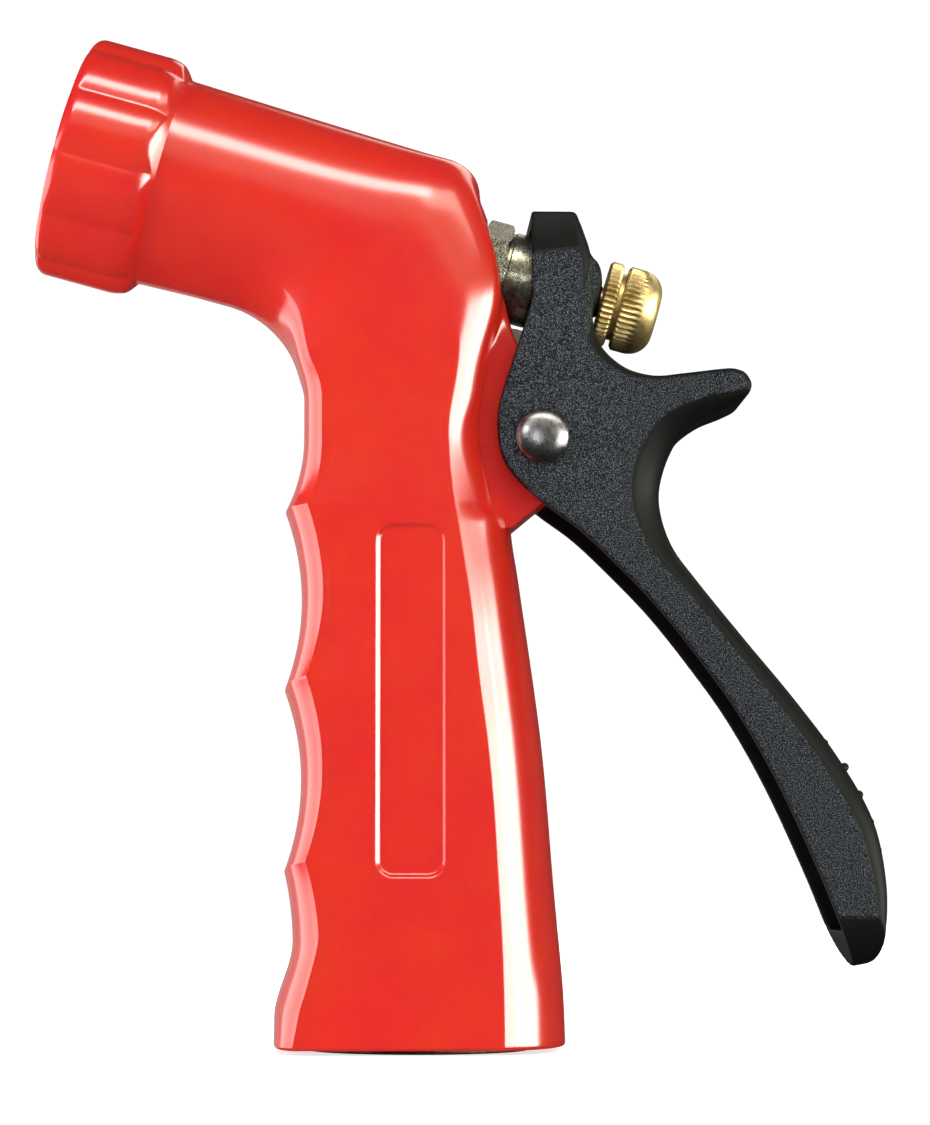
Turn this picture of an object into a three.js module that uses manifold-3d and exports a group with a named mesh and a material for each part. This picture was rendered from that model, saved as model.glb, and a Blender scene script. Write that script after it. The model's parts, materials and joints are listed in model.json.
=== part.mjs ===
// Rear-lever pistol-grip water nozzle with a rubber jacket, a squeeze lever and a brass adjuster.
// Millimetres. +Z up, +X towards the lever, +Y across the grip.
// The origin is the centre of the hose inlet's open face.
// "u" is distance along the barrel axis, rearwards positive, from the point above the origin.
import * as THREE from 'three';
import { mergeVertices } from 'three/addons/utils/BufferGeometryUtils.js';
import Module from 'manifold-3d';

const wasm = await Module();
wasm.setup();

// ---------------------------------------------------------------- driving dimensions

const GAP = 0.3;                       // clearance between neighbouring pieces
const TURN_STEPS = 28;                 // facets round a turned piece
const SECTION_STEPS = 28;              // facets round a jacket section

// barrel axis
const BARREL_TILT = THREE.MathUtils.degToRad(15.3);
const AXIS_HEIGHT = 111.5;
const ALONG = new THREE.Vector2(Math.cos(BARREL_TILT), -Math.sin(BARREL_TILT));
const ACROSS = new THREE.Vector2(Math.sin(BARREL_TILT), Math.cos(BARREL_TILT));

// rubber jacket
const BARREL_R_FRONT = 14.8;
const BARREL_R_REAR = 13.6;
const BARREL_FRONT_U = -38.5;
const BARREL_REAR_U = -1.5;
const ELBOW_R = 15;                    // inside bend between barrel and grip
const ELBOW_CENTRE = new THREE.Vector2(-30.95, 89.4);
const CORNER_R = 4.5;                  // outside bend above the packing nut
const COVER_WALL = 2.6;
const COVER_BOTTOM_Z = 0.6;

// bumper cap at the front of the jacket
const CAP_FRONT_U = -51.4;
const CAP_REAR_U = -39.3;
const SHOULDER_U = -37;
const CAP_R = 17.2;
const CAP_LOBES = 11;
const LOBE_DEPTH = 1.1;
const CAP_ROUND = 2.4;
const CAP_MOUTH_R = 11.4;

// grip outline
const NECK_X = -15.95;
const NECK_Z = 84.5;
const FIRST_RIDGE_Z = 74.3;
const FINGER_PITCH = 25;
const GROOVES = 2;
const GROOVE_DEPTH = 2.25;
const VALLEY_X = -16.2;
const FOOT_X = -19.75;
const FOOT_Z = 4.5;
const LAST_VALLEY_X = -17.3;
const LAST_VALLEY_Z = 14.8;

// hose inlet, three quarter inch garden hose thread
const COLLAR_R = 15.5;
const COLLAR_TOP_Z = 16;
const THREAD_R = 13.4;
const THREAD_DEPTH = 12;
const WATERWAY_R = 6;

// pivot and lever
const PIVOT = new THREE.Vector2(17, 84.3);
const LEVER_WIDTH = 19;
const FLANGE = 2.4;
const HEAD_TOP_Z = 115.9;
const HEAD_FRONT_X = 15.6;
const TIP_Z = 11.4;                    // lowest point of the lever
const TIP_ROUND = 8.5;                 // height over which its end rounds off
const PAD_U = 26.3;                    // where the lever's crowned pad meets the adjuster
const PAD_CROWN_R = 8;
const PAD_WIDTH = 13;
const RIVET_R = 2.4;
const RIVET_HEAD_R = 3.75;
const RIVET_HEAD_H = 1.6;
const LUG_WIDTH = 9.2;
const EAR_WIDTH = 12.8;

// stem, packing and adjuster
const STEM_R = 2.38;
const STEM_HOLE_R = 2.75;
const CHAMBER_R = 8.5;
const CHAMBER_FRONT_U = -45.6;
const CHAMBER_REAR_U = 1.5;
const BODY_REAR_U = 8.3;
const GLAND_FLATS = 12.7;              // half inch hexagon bar
const GLAND_HEX_U = 12.4;
const GLAND_END_U = 17.6;
const GLAND_SHANK_R = 5.2;
const KNOB_R = 6.05;
const KNOB_HUB_R = 4.8;
const RING_U = PAD_U + GAP;
const RING_LENGTH = 2;
const CAP_NUT_U = 29.7;
const CAP_NUT_END_U = 34.8;

// ---------------------------------------------------------------- materials

function finish(color, roughness, metalness) {
  return new THREE.MeshStandardMaterial({ color, roughness, metalness });
}

const RED_RUBBER = finish(0xd8261c, 0.3, 0);
const CAST_METAL = finish(0x8d8a80, 0.5, 0.9);
const ZINC = finish(0xb8b49c, 0.3, 1);
const BRASS = finish(0xc9a24a, 0.28, 1);
const BLACK_COAT = finish(0x1c1d1e, 0.55, 0.2);
const STEEL = finish(0x9a9a9a, 0.3, 1);
const SEAL = finish(0x1b1b1b, 0.8, 0);

// ---------------------------------------------------------------- solids

// Reads a closed geometry as a manifold solid, dropping slivers and turning its faces outwards.
function solidOf(geometry) {
  const bare = geometry.clone();
  for (const name of Object.keys(bare.attributes)) {
    if (name !== 'position') bare.deleteAttribute(name);
  }
  const merged = mergeVertices(bare, 1e-4);
  const positions = merged.attributes.position.array;
  const source = merged.index.array;
  const triangles = [];
  let volume = 0;
  const [a, b, c] = [new THREE.Vector3(), new THREE.Vector3(), new THREE.Vector3()];
  for (let i = 0; i < source.length; i += 3) {
    const [p, q, r] = [source[i], source[i + 1], source[i + 2]];
    if (p === q || q === r || r === p) continue;
    triangles.push(p, q, r);
    a.fromArray(positions, 3 * p);
    b.fromArray(positions, 3 * q);
    c.fromArray(positions, 3 * r);
    volume += a.dot(b.cross(c));
  }
  if (volume < 0) triangles.reverse();
  return new wasm.Manifold(new wasm.Mesh({
    numProp: 3,
    vertProperties: new Float32Array(positions),
    triVerts: new Uint32Array(triangles),
  }));
}

function geometryOf(solid) {
  const mesh = solid.getMesh();
  const geometry = new THREE.BufferGeometry();
  geometry.setAttribute('position', new THREE.BufferAttribute(mesh.vertProperties, 3));
  geometry.setIndex(new THREE.BufferAttribute(mesh.triVerts, 1));
  geometry.computeVertexNormals();
  return geometry;
}

function join(...solids) {
  return solids.reduce((whole, next) => whole.add(next));
}

function cut(solid, ...tools) {
  return tools.reduce((whole, tool) => whole.subtract(tool), solid);
}

// A solid of revolution about local +X from [u, radius] pairs that start and end on the axis,
// or close on themselves for a ring.
function turned(profile, steps = TURN_STEPS) {
  const points = profile.map(([u, radius]) => new THREE.Vector2(radius, u));
  return new THREE.LatheGeometry(points, steps).rotateZ(-Math.PI / 2);
}

function rod(fromU, toU, radius, steps = TURN_STEPS) {
  return turned([[fromU, 0], [fromU, radius], [toU, radius], [toU, 0]], steps);
}

function ring(fromU, toU, innerR, outerR, steps = TURN_STEPS) {
  return turned(
    [[fromU, innerR], [fromU, outerR], [toU, outerR], [toU, innerR], [fromU, innerR]], steps);
}

// Stands a piece made along local +X upright along +Z.
function upright(geometry) {
  return geometry.rotateY(-Math.PI / 2);
}

// Turns a piece made along local +X so that it lies along +Y, then moves it to the pivot.
function onPivot(geometry) {
  return geometry.rotateZ(Math.PI / 2).translate(PIVOT.x, 0, PIVOT.y);
}

const barrelMatrix = new THREE.Matrix4()
  .makeRotationY(BARREL_TILT)
  .setPosition(0, 0, AXIS_HEIGHT);

function onBarrel(geometry) {
  return geometry.applyMatrix4(barrelMatrix);
}

// A plate of the given side-view shape, centred across the grip.
function plate(shape, width, bevel = 0, centreY = 0) {
  const depth = width - 2 * bevel;
  const geometry = new THREE.ExtrudeGeometry(shape, {
    depth,
    curveSegments: 8,
    bevelEnabled: bevel > 0,
    bevelThickness: bevel,
    bevelSize: bevel,
    bevelOffset: -bevel,
    bevelSegments: 2,
  });
  return geometry.translate(0, 0, -depth / 2).rotateX(Math.PI / 2).translate(0, centreY, 0);
}

function sideShape(points) {
  return new THREE.Shape(points.map(([x, z]) => new THREE.Vector2(x, z)));
}

// Skins a row of closed rings of equal length and closes both ends with a fan.
function loft(rings) {
  const count = rings[0].length;
  const positions = [];
  const index = [];
  for (const points of rings) {
    for (const point of points) positions.push(point.x, point.y, point.z);
  }
  for (let row = 0; row + 1 < rings.length; row += 1) {
    for (let k = 0; k < count; k += 1) {
      const near = row * count + k;
      const beside = row * count + ((k + 1) % count);
      index.push(near, beside, near + count, beside, beside + count, near + count);
    }
  }
  const closeEnd = (points, start, flip) => {
    const centre = positions.length / 3;
    const middle = points.reduce((sum, p) => sum.add(p), new THREE.Vector3());
    middle.divideScalar(count);
    positions.push(middle.x, middle.y, middle.z);
    for (let k = 0; k < count; k += 1) {
      const near = start + k;
      const beside = start + ((k + 1) % count);
      index.push(centre, flip ? near : beside, flip ? beside : near);
    }
  };
  closeEnd(rings[0], 0, false);
  closeEnd(rings.at(-1), (rings.length - 1) * count, true);
  const geometry = new THREE.BufferGeometry();
  geometry.setAttribute('position', new THREE.Float32BufferAttribute(positions, 3));
  geometry.setIndex(index);
  return geometry;
}

// ---------------------------------------------------------------- jacket outline

// Side-view point at distance u along the barrel and n across it.
function barrelPoint(u, n) {
  return new THREE.Vector2(0, AXIS_HEIGHT).addScaledVector(ALONG, u).addScaledVector(ACROSS, n);
}

function barrelRadius(u) {
  const t = (u - BARREL_FRONT_U) / (BARREL_REAR_U - BARREL_FRONT_U);
  return THREE.MathUtils.lerp(BARREL_R_FRONT, BARREL_R_REAR, THREE.MathUtils.clamp(t, 0, 1));
}

// Front edge of the grip: the neck, the finger grooves and the flared foot.
function frontX(z) {
  const lastRidge = FIRST_RIDGE_Z - GROOVES * FINGER_PITCH;
  const ridgeX = VALLEY_X - GROOVE_DEPTH;
  if (z >= NECK_Z) return NECK_X;
  if (z >= FIRST_RIDGE_Z) {
    const s = (NECK_Z - z) / (NECK_Z - FIRST_RIDGE_Z);
    return THREE.MathUtils.lerp(NECK_X, ridgeX, s * s);
  }
  if (z >= lastRidge) {
    const s = 2 * (((FIRST_RIDGE_Z - z) / FINGER_PITCH) % 1) - 1;
    return VALLEY_X - GROOVE_DEPTH * s * s;
  }
  if (z >= LAST_VALLEY_Z) {
    const s = (z - LAST_VALLEY_Z) / (lastRidge - LAST_VALLEY_Z);
    return THREE.MathUtils.lerp(LAST_VALLEY_X, ridgeX, s * s);
  }
  const rise = THREE.MathUtils.smoothstep(z, FOOT_Z, LAST_VALLEY_Z);
  return THREE.MathUtils.lerp(FOOT_X, LAST_VALLEY_X, rise);
}

// Back of the jacket from the outside corner above the packing nut down to the foot.
const backCurve = new THREE.SplineCurve([
  [8.7, 118.6], [9.9, 115], [11.5, 107.6], [11.6, 100], [10.8, 92], [10.7, 84], [11.6, 77],
  [13.05, 71.5], [14.3, 63], [17.2, 42], [18.9, 22], [20.1, 8.8], [20.45, COVER_BOTTOM_Z],
].map(([x, z]) => new THREE.Vector2(x, z)));

// Top of the barrel, the outside corner and the back, as one line of points.
function outerOutline() {
  const cornerU = 6;
  const frontU = -60;
  const bend = new THREE.QuadraticBezierCurve(
    barrelPoint(cornerU - CORNER_R, BARREL_R_REAR),
    barrelPoint(cornerU, BARREL_R_REAR - 0.4),
    backCurve.getPoint(0),
  );
  const frontRise = (BARREL_R_FRONT - BARREL_R_REAR) / (BARREL_REAR_U - BARREL_FRONT_U);
  return [
    barrelPoint(frontU, BARREL_R_FRONT + frontRise * (BARREL_FRONT_U - frontU)),
    barrelPoint(BARREL_REAR_U, BARREL_R_REAR),
    ...bend.getPoints(8),
    ...backCurve.getPoints(40).slice(1),
  ];
}

const OUTER_LINE = outerOutline();

// Where the ray from a point leaves the outer outline.
function outerCrossing(origin, direction) {
  for (let i = 0; i + 1 < OUTER_LINE.length; i += 1) {
    const p = OUTER_LINE[i];
    const edge = OUTER_LINE[i + 1].clone().sub(p);
    const toStart = p.clone().sub(origin);
    const det = direction.x * edge.y - direction.y * edge.x;
    const along = (toStart.x * edge.y - toStart.y * edge.x) / det;
    const across = (toStart.x * direction.y - toStart.y * direction.x) / det;
    if (along > 0 && across >= -1e-9 && across <= 1 + 1e-9) {
      return origin.clone().addScaledVector(direction, along);
    }
  }
  throw new Error('a jacket section misses the outline');
}

// Half-width of the jacket across the grip at a height.
function gripHalfWidth(z) {
  const t = THREE.MathUtils.clamp(z / ELBOW_CENTRE.y, 0, 1);
  return THREE.MathUtils.lerp(18, 13.6, Math.pow(t, 0.75));
}

// Sections of the jacket: each runs from the front or underside to the back or top.
function jacketRungs(barrelSteps, elbowSteps, gripLevels, front = frontX) {
  const rungs = [];
  for (const u of barrelSteps) {
    const r = barrelRadius(u);
    rungs.push({ inner: barrelPoint(u, -r), outer: barrelPoint(u, r), half: r, power: 2 });
  }
  const startAngle = Math.PI / 2 - BARREL_TILT;
  const startHalf = barrelRadius(-27);
  for (let i = 0; i <= elbowSteps; i += 1) {
    const t = i / elbowSteps;
    const angle = startAngle * (1 - t);
    const direction = new THREE.Vector2(Math.cos(angle), Math.sin(angle));
    rungs.push({
      inner: ELBOW_CENTRE.clone().addScaledVector(direction, ELBOW_R),
      outer: outerCrossing(ELBOW_CENTRE, direction),
      half: THREE.MathUtils.lerp(startHalf, gripHalfWidth(ELBOW_CENTRE.y), t),
      power: THREE.MathUtils.lerp(2, 2.5, t),
    });
  }
  for (const z of gripLevels) {
    const start = new THREE.Vector2(front(z), z);
    const t = 1 - z / ELBOW_CENTRE.y;
    rungs.push({
      inner: start,
      outer: outerCrossing(start, new THREE.Vector2(1, 0)),
      half: gripHalfWidth(z),
      power: THREE.MathUtils.lerp(2.5, 2.8, t),
    });
  }
  return rungs;
}

// One closed section, pulled in by "inset" all round.
function sectionRing({ inner, outer, half, power }, inset, steps) {
  const middle = inner.clone().add(outer).divideScalar(2);
  const reach = outer.clone().sub(inner);
  const length = reach.length() / 2 - inset;
  reach.normalize();
  const points = [];
  for (let k = 0; k < steps; k += 1) {
    const angle = (2 * Math.PI * k) / steps;
    const c = Math.cos(angle);
    const s = Math.sin(angle);
    const along = Math.sign(c) * Math.abs(c) ** (2 / power) * length;
    const side = Math.sign(s) * Math.abs(s) ** (2 / power) * (half - inset);
    points.push(new THREE.Vector3(middle.x + reach.x * along, side, middle.y + reach.y * along));
  }
  return points;
}

function gripLevels() {
  const levels = [80, 77];
  for (let groove = 0; groove < GROOVES; groove += 1) {
    for (const share of [0, 0.14, 0.32, 0.5, 0.68, 0.86]) {
      levels.push(FIRST_RIDGE_Z - (groove + share) * FINGER_PITCH);
    }
  }
  return [...levels, 24.3, 21, 18, LAST_VALLEY_Z, 11, 8, FOOT_Z, COVER_BOTTOM_Z];
}

function jacketSkin() {
  const rungs = jacketRungs([BARREL_FRONT_U - 2], 11, gripLevels());
  return loft(rungs.map((rung) => sectionRing(rung, 0, SECTION_STEPS)));
}

// The shape inside the jacket, shrunk by "inset": smooth, with no finger grooves.
function coreSkin(inset, frontU, bottomZ) {
  const smoothFront = (z) => Math.max(frontX(z), VALLEY_X);
  const rungs = jacketRungs([frontU], 6, [72, 50, 30, bottomZ], smoothFront);
  return loft(rungs.map((rung) => sectionRing(rung, inset, 20)));
}

// Bumper cap: a ring of rounded lobes that fades into the barrel at its rear shoulder,
// with a valley at the top.
function bumperCap() {
  const stepsPerLobe = 8;
  const stations = [
    [CAP_FRONT_U, CAP_R - CAP_ROUND, 0.4], [CAP_FRONT_U + 0.7, CAP_R - 0.7, 0.8],
    [CAP_FRONT_U + CAP_ROUND, CAP_R, 1], [CAP_REAR_U, CAP_R, 1],
    [CAP_REAR_U + 1, CAP_R - 0.6, 0.8], [SHOULDER_U, BARREL_R_FRONT - 0.3, 0],
  ];
  const rings = stations.map(([u, radius, lobeShare]) => {
    const points = [];
    for (let k = 0; k < CAP_LOBES * stepsPerLobe; k += 1) {
      const angle = Math.PI / 2 + (2 * Math.PI * k) / (CAP_LOBES * stepsPerLobe);
      const fromCrest = 2 * ((k / stepsPerLobe) % 1) - 1;
      const r = radius - LOBE_DEPTH * lobeShare * fromCrest * fromCrest;
      points.push(new THREE.Vector3(u, r * Math.cos(angle), r * Math.sin(angle)));
    }
    return points;
  });
  return onBarrel(loft(rings));
}

// ---------------------------------------------------------------- root body

// Side view of the pivot lug or, with a larger radius, of the rubber ear round it.
function lugShape(radius, lowZ, highZ) {
  const rootX = 4;
  const shape = new THREE.Shape();
  shape.moveTo(rootX, lowZ);
  shape.lineTo(12.6, lowZ);
  shape.absarc(PIVOT.x, PIVOT.y, radius, -0.9, 1.1, false);
  shape.lineTo(12, highZ);
  shape.lineTo(rootX, highZ);
  return shape;
}

function earShape() {
  const shape = new THREE.Shape();
  shape.moveTo(5, 71.9);
  shape.lineTo(12.4, 71.9);
  shape.lineTo(17.05, 75.3);
  shape.absarc(PIVOT.x, PIVOT.y, 7.4, -0.8, 1.3, false);
  shape.lineTo(13.6, 97.5);
  shape.lineTo(13, 101.2);
  shape.lineTo(11.4, 107.2);
  shape.lineTo(5, 107.2);
  return shape;
}

function makeJacket() {
  const rivetHole = solidOf(onPivot(rod(-20, 20, RIVET_R + 2 * GAP, 16)));
  const ear = cut(solidOf(plate(earShape(), EAR_WIDTH)), rivetHole);
  const outside = join(solidOf(jacketSkin()), solidOf(bumperCap()));
  return cut(
    join(cut(outside, leverPocket()), ear),
    solidOf(coreSkin(COVER_WALL, CHAMBER_FRONT_U - GAP, COLLAR_TOP_Z)),
    solidOf(plate(lugShape(5.6 + GAP, 75.5 - GAP, 92 + GAP), LUG_WIDTH + 2 * GAP)),
    solidOf(onBarrel(rod(CAP_FRONT_U - 1, CHAMBER_FRONT_U + 1, CAP_MOUTH_R))),
    solidOf(onBarrel(rod(4, 22, GLAND_FLATS / 2 + 1.5))),
    solidOf(upright(rod(-1, COLLAR_TOP_Z + GAP, COLLAR_R + GAP))),
  );
}

// Room for the two lever flanges to swing beside the pivot lug.
function leverPocket() {
  const shape = sideShape([
    [13, 107], [11.4, 96.5], [9.9, 90], [9.8, 82], [10.9, 76.5], [13.4, 71.5], [40, 71.5], [40, 107],
  ]);
  const betweenFlanges = sideShape([[0, 50], [50, 50], [50, 110], [0, 110]]);
  return cut(solidOf(plate(shape, 40)), solidOf(plate(betweenFlanges, EAR_WIDTH)));
}

function makeBody() {
  const casting = join(
    solidOf(coreSkin(COVER_WALL + GAP, CHAMBER_FRONT_U, COLLAR_TOP_Z + 2 * GAP)),
    solidOf(plate(lugShape(5.6, 75.5, 92), LUG_WIDTH)),
  );
  return cut(
    casting,
    solidOf(onPivot(rod(-20, 20, RIVET_R + GAP, 16))),
    solidOf(onBarrel(rod(BODY_REAR_U, 30, 9.5))),
    solidOf(onBarrel(rod(CHAMBER_FRONT_U - 5, CHAMBER_REAR_U, CHAMBER_R))),
    solidOf(onBarrel(rod(0, 20, STEM_HOLE_R, 16))),
    solidOf(onBarrel(rod(CHAMBER_REAR_U + 1.5, 20, GLAND_SHANK_R + GAP))),
    solidOf(upright(rod(0, AXIS_HEIGHT + 1, WATERWAY_R)).translate(-2, 0, 0)),
  );
}

function makeInletCollar() {
  const shelfZ = COLLAR_TOP_Z - 1.6;
  return upright(turned([
    [0, THREAD_R + 0.5], [0, COLLAR_R], [COLLAR_TOP_Z, COLLAR_R], [COLLAR_TOP_Z, 8.2],
    [shelfZ, 8.2], [shelfZ, THREAD_R], [0.8, THREAD_R], [0, THREAD_R + 0.5],
  ], 32));
}

function makeInletGasket() {
  const top = COLLAR_TOP_Z - 1.6 - GAP;
  return upright(ring(THREAD_DEPTH - 0.4, top, 8.2, THREAD_R - GAP));
}

function makeSprayNozzle() {
  const backU = -42;
  const flangeU = CHAMBER_FRONT_U - 1.6;
  const faceU = flangeU - 2.7;
  const shankR = CHAMBER_R - GAP;
  const orificeR = 3.4;
  return turned([
    [backU, orificeR], [flangeU + 0.4, orificeR], [faceU, 6.2], [faceU, 10.2], [faceU + 0.4, 10.6],
    [flangeU, 10.6], [flangeU, shankR], [backU - 0.4, shankR], [backU, shankR - 0.8],
    [backU, orificeR],
  ]);
}

function makePackingNut() {
  const hexagon = new THREE.CylinderGeometry(1, 1, 1, 6).rotateZ(-Math.PI / 2);
  const cornerR = GLAND_FLATS / Math.sqrt(3);
  const from = BODY_REAR_U + GAP;
  hexagon.scale(GLAND_HEX_U - from, cornerR, cornerR).translate((from + GLAND_HEX_U) / 2, 0, 0);
  const solid = join(
    solidOf(hexagon.rotateX(Math.PI / 2)),
    solidOf(rod(GLAND_HEX_U - 1, GLAND_END_U, GLAND_FLATS / 2)),
    solidOf(rod(BODY_REAR_U - 2.5, from + 1, GLAND_SHANK_R)),
  );
  return geometryOf(cut(solid, solidOf(rod(0, GLAND_END_U + 1, STEM_HOLE_R, 16))));
}

// ---------------------------------------------------------------- lever body

const LEVER_FRONT = [
  [15.5, 103.2], [13.3, 96], [11.2, 89.3], [10.9, 84.9], [11.7, 81.2], [13.9, 78.1], [17.2, 75.1],
  [22.2, 71.4], [27.7, 66.2], [33.2, 60.4], [38.6, 53.6], [44, 46], [49.4, 36.4], [54.8, 24.6],
  [58.6, 15.2],
];
const LEVER_BACK = [
  [63.2, 12.8], [64.1, 16.5], [64.3, 23.3], [62.7, 31.5], [58.2, 39.8], [52.1, 48], [45.2, 56.3],
  [38.5, 64.6], [35.1, 69.6], [33.6, 75], [34, 79.4], [36, 84.1], [39.4, 87.1], [43.3, 88.6],
];
const HORN_TIP = [[45.4, 89.9], [46.1, 91.6], [45.2, 93.6]];
const HORN_TOP = [[41.5, 93.9], [36.5, 93.2], [32.5, 92.9], [28.5, 94.1], [25.3, 97.1], [24.2, 99.5]];
const CHANNEL_BACK = [
  [60.3, 17], [61.2, 24], [59.6, 30.5], [55.5, 38], [49.8, 45.6], [43, 53.8],
  [36.2, 62.2], [31.5, 68.5], [29.9, 75], [29.6, 82], [26.8, 88.5], [22.6, 94.5], [21.2, 99.5],
];

function spline(points, count) {
  return new THREE.SplineCurve(points.map(([x, z]) => new THREE.Vector2(x, z))).getPoints(count);
}

function leverOutline() {
  return new THREE.Shape([
    new THREE.Vector2(HEAD_FRONT_X, HEAD_TOP_Z),
    new THREE.Vector2(HEAD_FRONT_X, 106),
    ...spline(LEVER_FRONT, 26),
    new THREE.Vector2(60.4, TIP_Z),
    ...spline(LEVER_BACK, 26),
    ...spline(HORN_TIP, 3),
    ...spline(HORN_TOP, 9),
    new THREE.Vector2(24, 109.8),
    new THREE.Vector2(21.8, HEAD_TOP_Z),
  ]);
}

function channelOutline() {
  return new THREE.Shape([
    new THREE.Vector2(5, 113.8),
    new THREE.Vector2(5, 70),
    new THREE.Vector2(40, 30),
    new THREE.Vector2(55, 17),
    ...spline(CHANNEL_BACK, 26),
    new THREE.Vector2(21.2, 113.8),
  ]);
}

// The crowned pad on the back of the head that bears on the adjuster.
function padSolid() {
  const crown = new THREE.CylinderGeometry(PAD_CROWN_R, PAD_CROWN_R, PAD_WIDTH, 40);
  crown.translate(PAD_U - PAD_CROWN_R, 0, 0);
  const depth = 6;
  const lowN = -5.5;
  const highN = 7;
  const block = new THREE.BoxGeometry(depth, PAD_WIDTH - 1, highN - lowN);
  block.translate(PAD_U - depth / 2, 0, (lowN + highN) / 2);
  return solidOf(onBarrel(crown)).intersect(solidOf(onBarrel(block)));
}

// Slot for the stem, longer upwards, where the stem rises as the head swings back.
function stemSlot() {
  const slotR = STEM_HOLE_R + 0.15;
  const slot = new THREE.Shape();
  slot.absarc(0, -0.3, slotR, Math.PI, 2 * Math.PI, false);
  slot.absarc(0, 2.35, slotR, 0, Math.PI, false);
  const geometry = new THREE.ExtrudeGeometry(slot, {
    depth: 12,
    bevelEnabled: false,
    curveSegments: 8,
  });
  geometry.rotateZ(Math.PI / 2).rotateY(Math.PI / 2).translate(18, 0, 0);
  return onBarrel(geometry);
}

// Everything outside the rounded end of the lever, seen from behind.
function tipTrim() {
  const halfWidth = LEVER_WIDTH / 2;
  const outerY = halfWidth + 3;
  const lowZ = TIP_Z - 6;
  const springZ = TIP_Z + TIP_ROUND;
  const shape = sideShape([[-outerY, springZ], [-outerY, lowZ], [outerY, lowZ], [outerY, springZ]]);
  shape.lineTo(halfWidth, springZ);
  shape.absellipse(0, springZ, halfWidth, TIP_ROUND, 0, Math.PI, true);
  const geometry = new THREE.ExtrudeGeometry(shape, {
    depth: 25,
    bevelEnabled: false,
    curveSegments: 10,
  });
  return geometry.rotateX(Math.PI / 2).rotateZ(Math.PI / 2).translate(48, 0, 0);
}

function makeLever() {
  const web = join(solidOf(plate(leverOutline(), LEVER_WIDTH, 1.2)), padSolid());
  return geometryOf(cut(
    web,
    solidOf(plate(channelOutline(), LEVER_WIDTH - 2 * FLANGE)),
    solidOf(onPivot(rod(-20, 20, RIVET_R + GAP, 16))),
    solidOf(stemSlot()),
    solidOf(tipTrim()),
    solidOf(onBarrel(rod(PAD_U, 40, KNOB_R + 1))),
  ));
}

function makeRivet() {
  const face = LEVER_WIDTH / 2 + GAP;
  const near = -face - RIVET_HEAD_H;
  return onPivot(turned([
    [near, 0], [near + 0.15, 1.4], [near + 0.6, 2.8], [-face - 0.4, RIVET_HEAD_R], [-face, RIVET_HEAD_R],
    [-face, RIVET_R], [face, RIVET_R], [face, RIVET_HEAD_R - 0.5], [face + 0.9, 2.3],
    [face + 1.1, 0],
  ], 24));
}

// ---------------------------------------------------------------- stem body

function makeStem() {
  return turned([[-41, 0], [-41, 1.5], [-36.4, 1.5], [-36.4, STEM_R], [33, STEM_R], [33, 0]], 20);
}

function makeValveCone() {
  return turned([
    [-48, 0], [-48, 1], [-46.5, 2.6], [-42, 3], [-42, 2.7], [-36.8, 2.7], [-36.8, 1.8],
    [-41.4, 1.8], [-41.4, 0],
  ], 20);
}

function makeReturnSpring(fromU, toU) {
  const meanR = 5.2;
  const wireR = 0.6;
  const coils = 9;
  class Helix extends THREE.Curve {
    getPoint(t, target = new THREE.Vector3()) {
      const angle = 2 * Math.PI * coils * t;
      const u = THREE.MathUtils.lerp(fromU + wireR, toU - wireR, t);
      return target.set(u, meanR * Math.cos(angle), meanR * Math.sin(angle));
    }
  }
  const wire = new THREE.Shape().absarc(0, 0, wireR, 0, 2 * Math.PI, false);
  return new THREE.ExtrudeGeometry(wire, {
    steps: coils * 10, extrudePath: new Helix(), curveSegments: 3, bevelEnabled: false,
  });
}

function makeAdjustingNut() {
  const hubEnd = RING_U + RING_LENGTH + 0.7;
  return turned([
    [RING_U, STEM_R + GAP], [RING_U, KNOB_R - 0.3], [RING_U + 0.3, KNOB_R],
    [RING_U + RING_LENGTH - 0.3, KNOB_R], [RING_U + RING_LENGTH, KNOB_R - 0.3],
    [RING_U + RING_LENGTH, KNOB_HUB_R], [hubEnd, KNOB_HUB_R], [hubEnd, STEM_R + GAP],
    [RING_U, STEM_R + GAP],
  ]);
}

function makeCapLockNut() {
  const hubStart = RING_U + RING_LENGTH + 0.7 + GAP;
  const bore = STEM_R + GAP;
  return turned([
    [33.3, 0], [33.3, bore], [hubStart, bore], [hubStart, KNOB_HUB_R], [CAP_NUT_U, KNOB_HUB_R],
    [CAP_NUT_U, KNOB_R - 0.3], [CAP_NUT_U + 0.3, KNOB_R], [32.4, KNOB_R], [33.6, 5.4], [34.4, 4],
    [CAP_NUT_END_U, 2], [CAP_NUT_END_U, 0],
  ]);
}

// ---------------------------------------------------------------- assembly

const nozzle = new THREE.Group();
const barrel = new THREE.Group();
barrel.position.set(0, 0, AXIS_HEIGHT);
barrel.rotation.y = BARREL_TILT;
nozzle.add(barrel);

function add(parent, name, geometry, material) {
  const mesh = new THREE.Mesh(geometry, material);
  mesh.name = name;
  parent.add(mesh);
}

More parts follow.
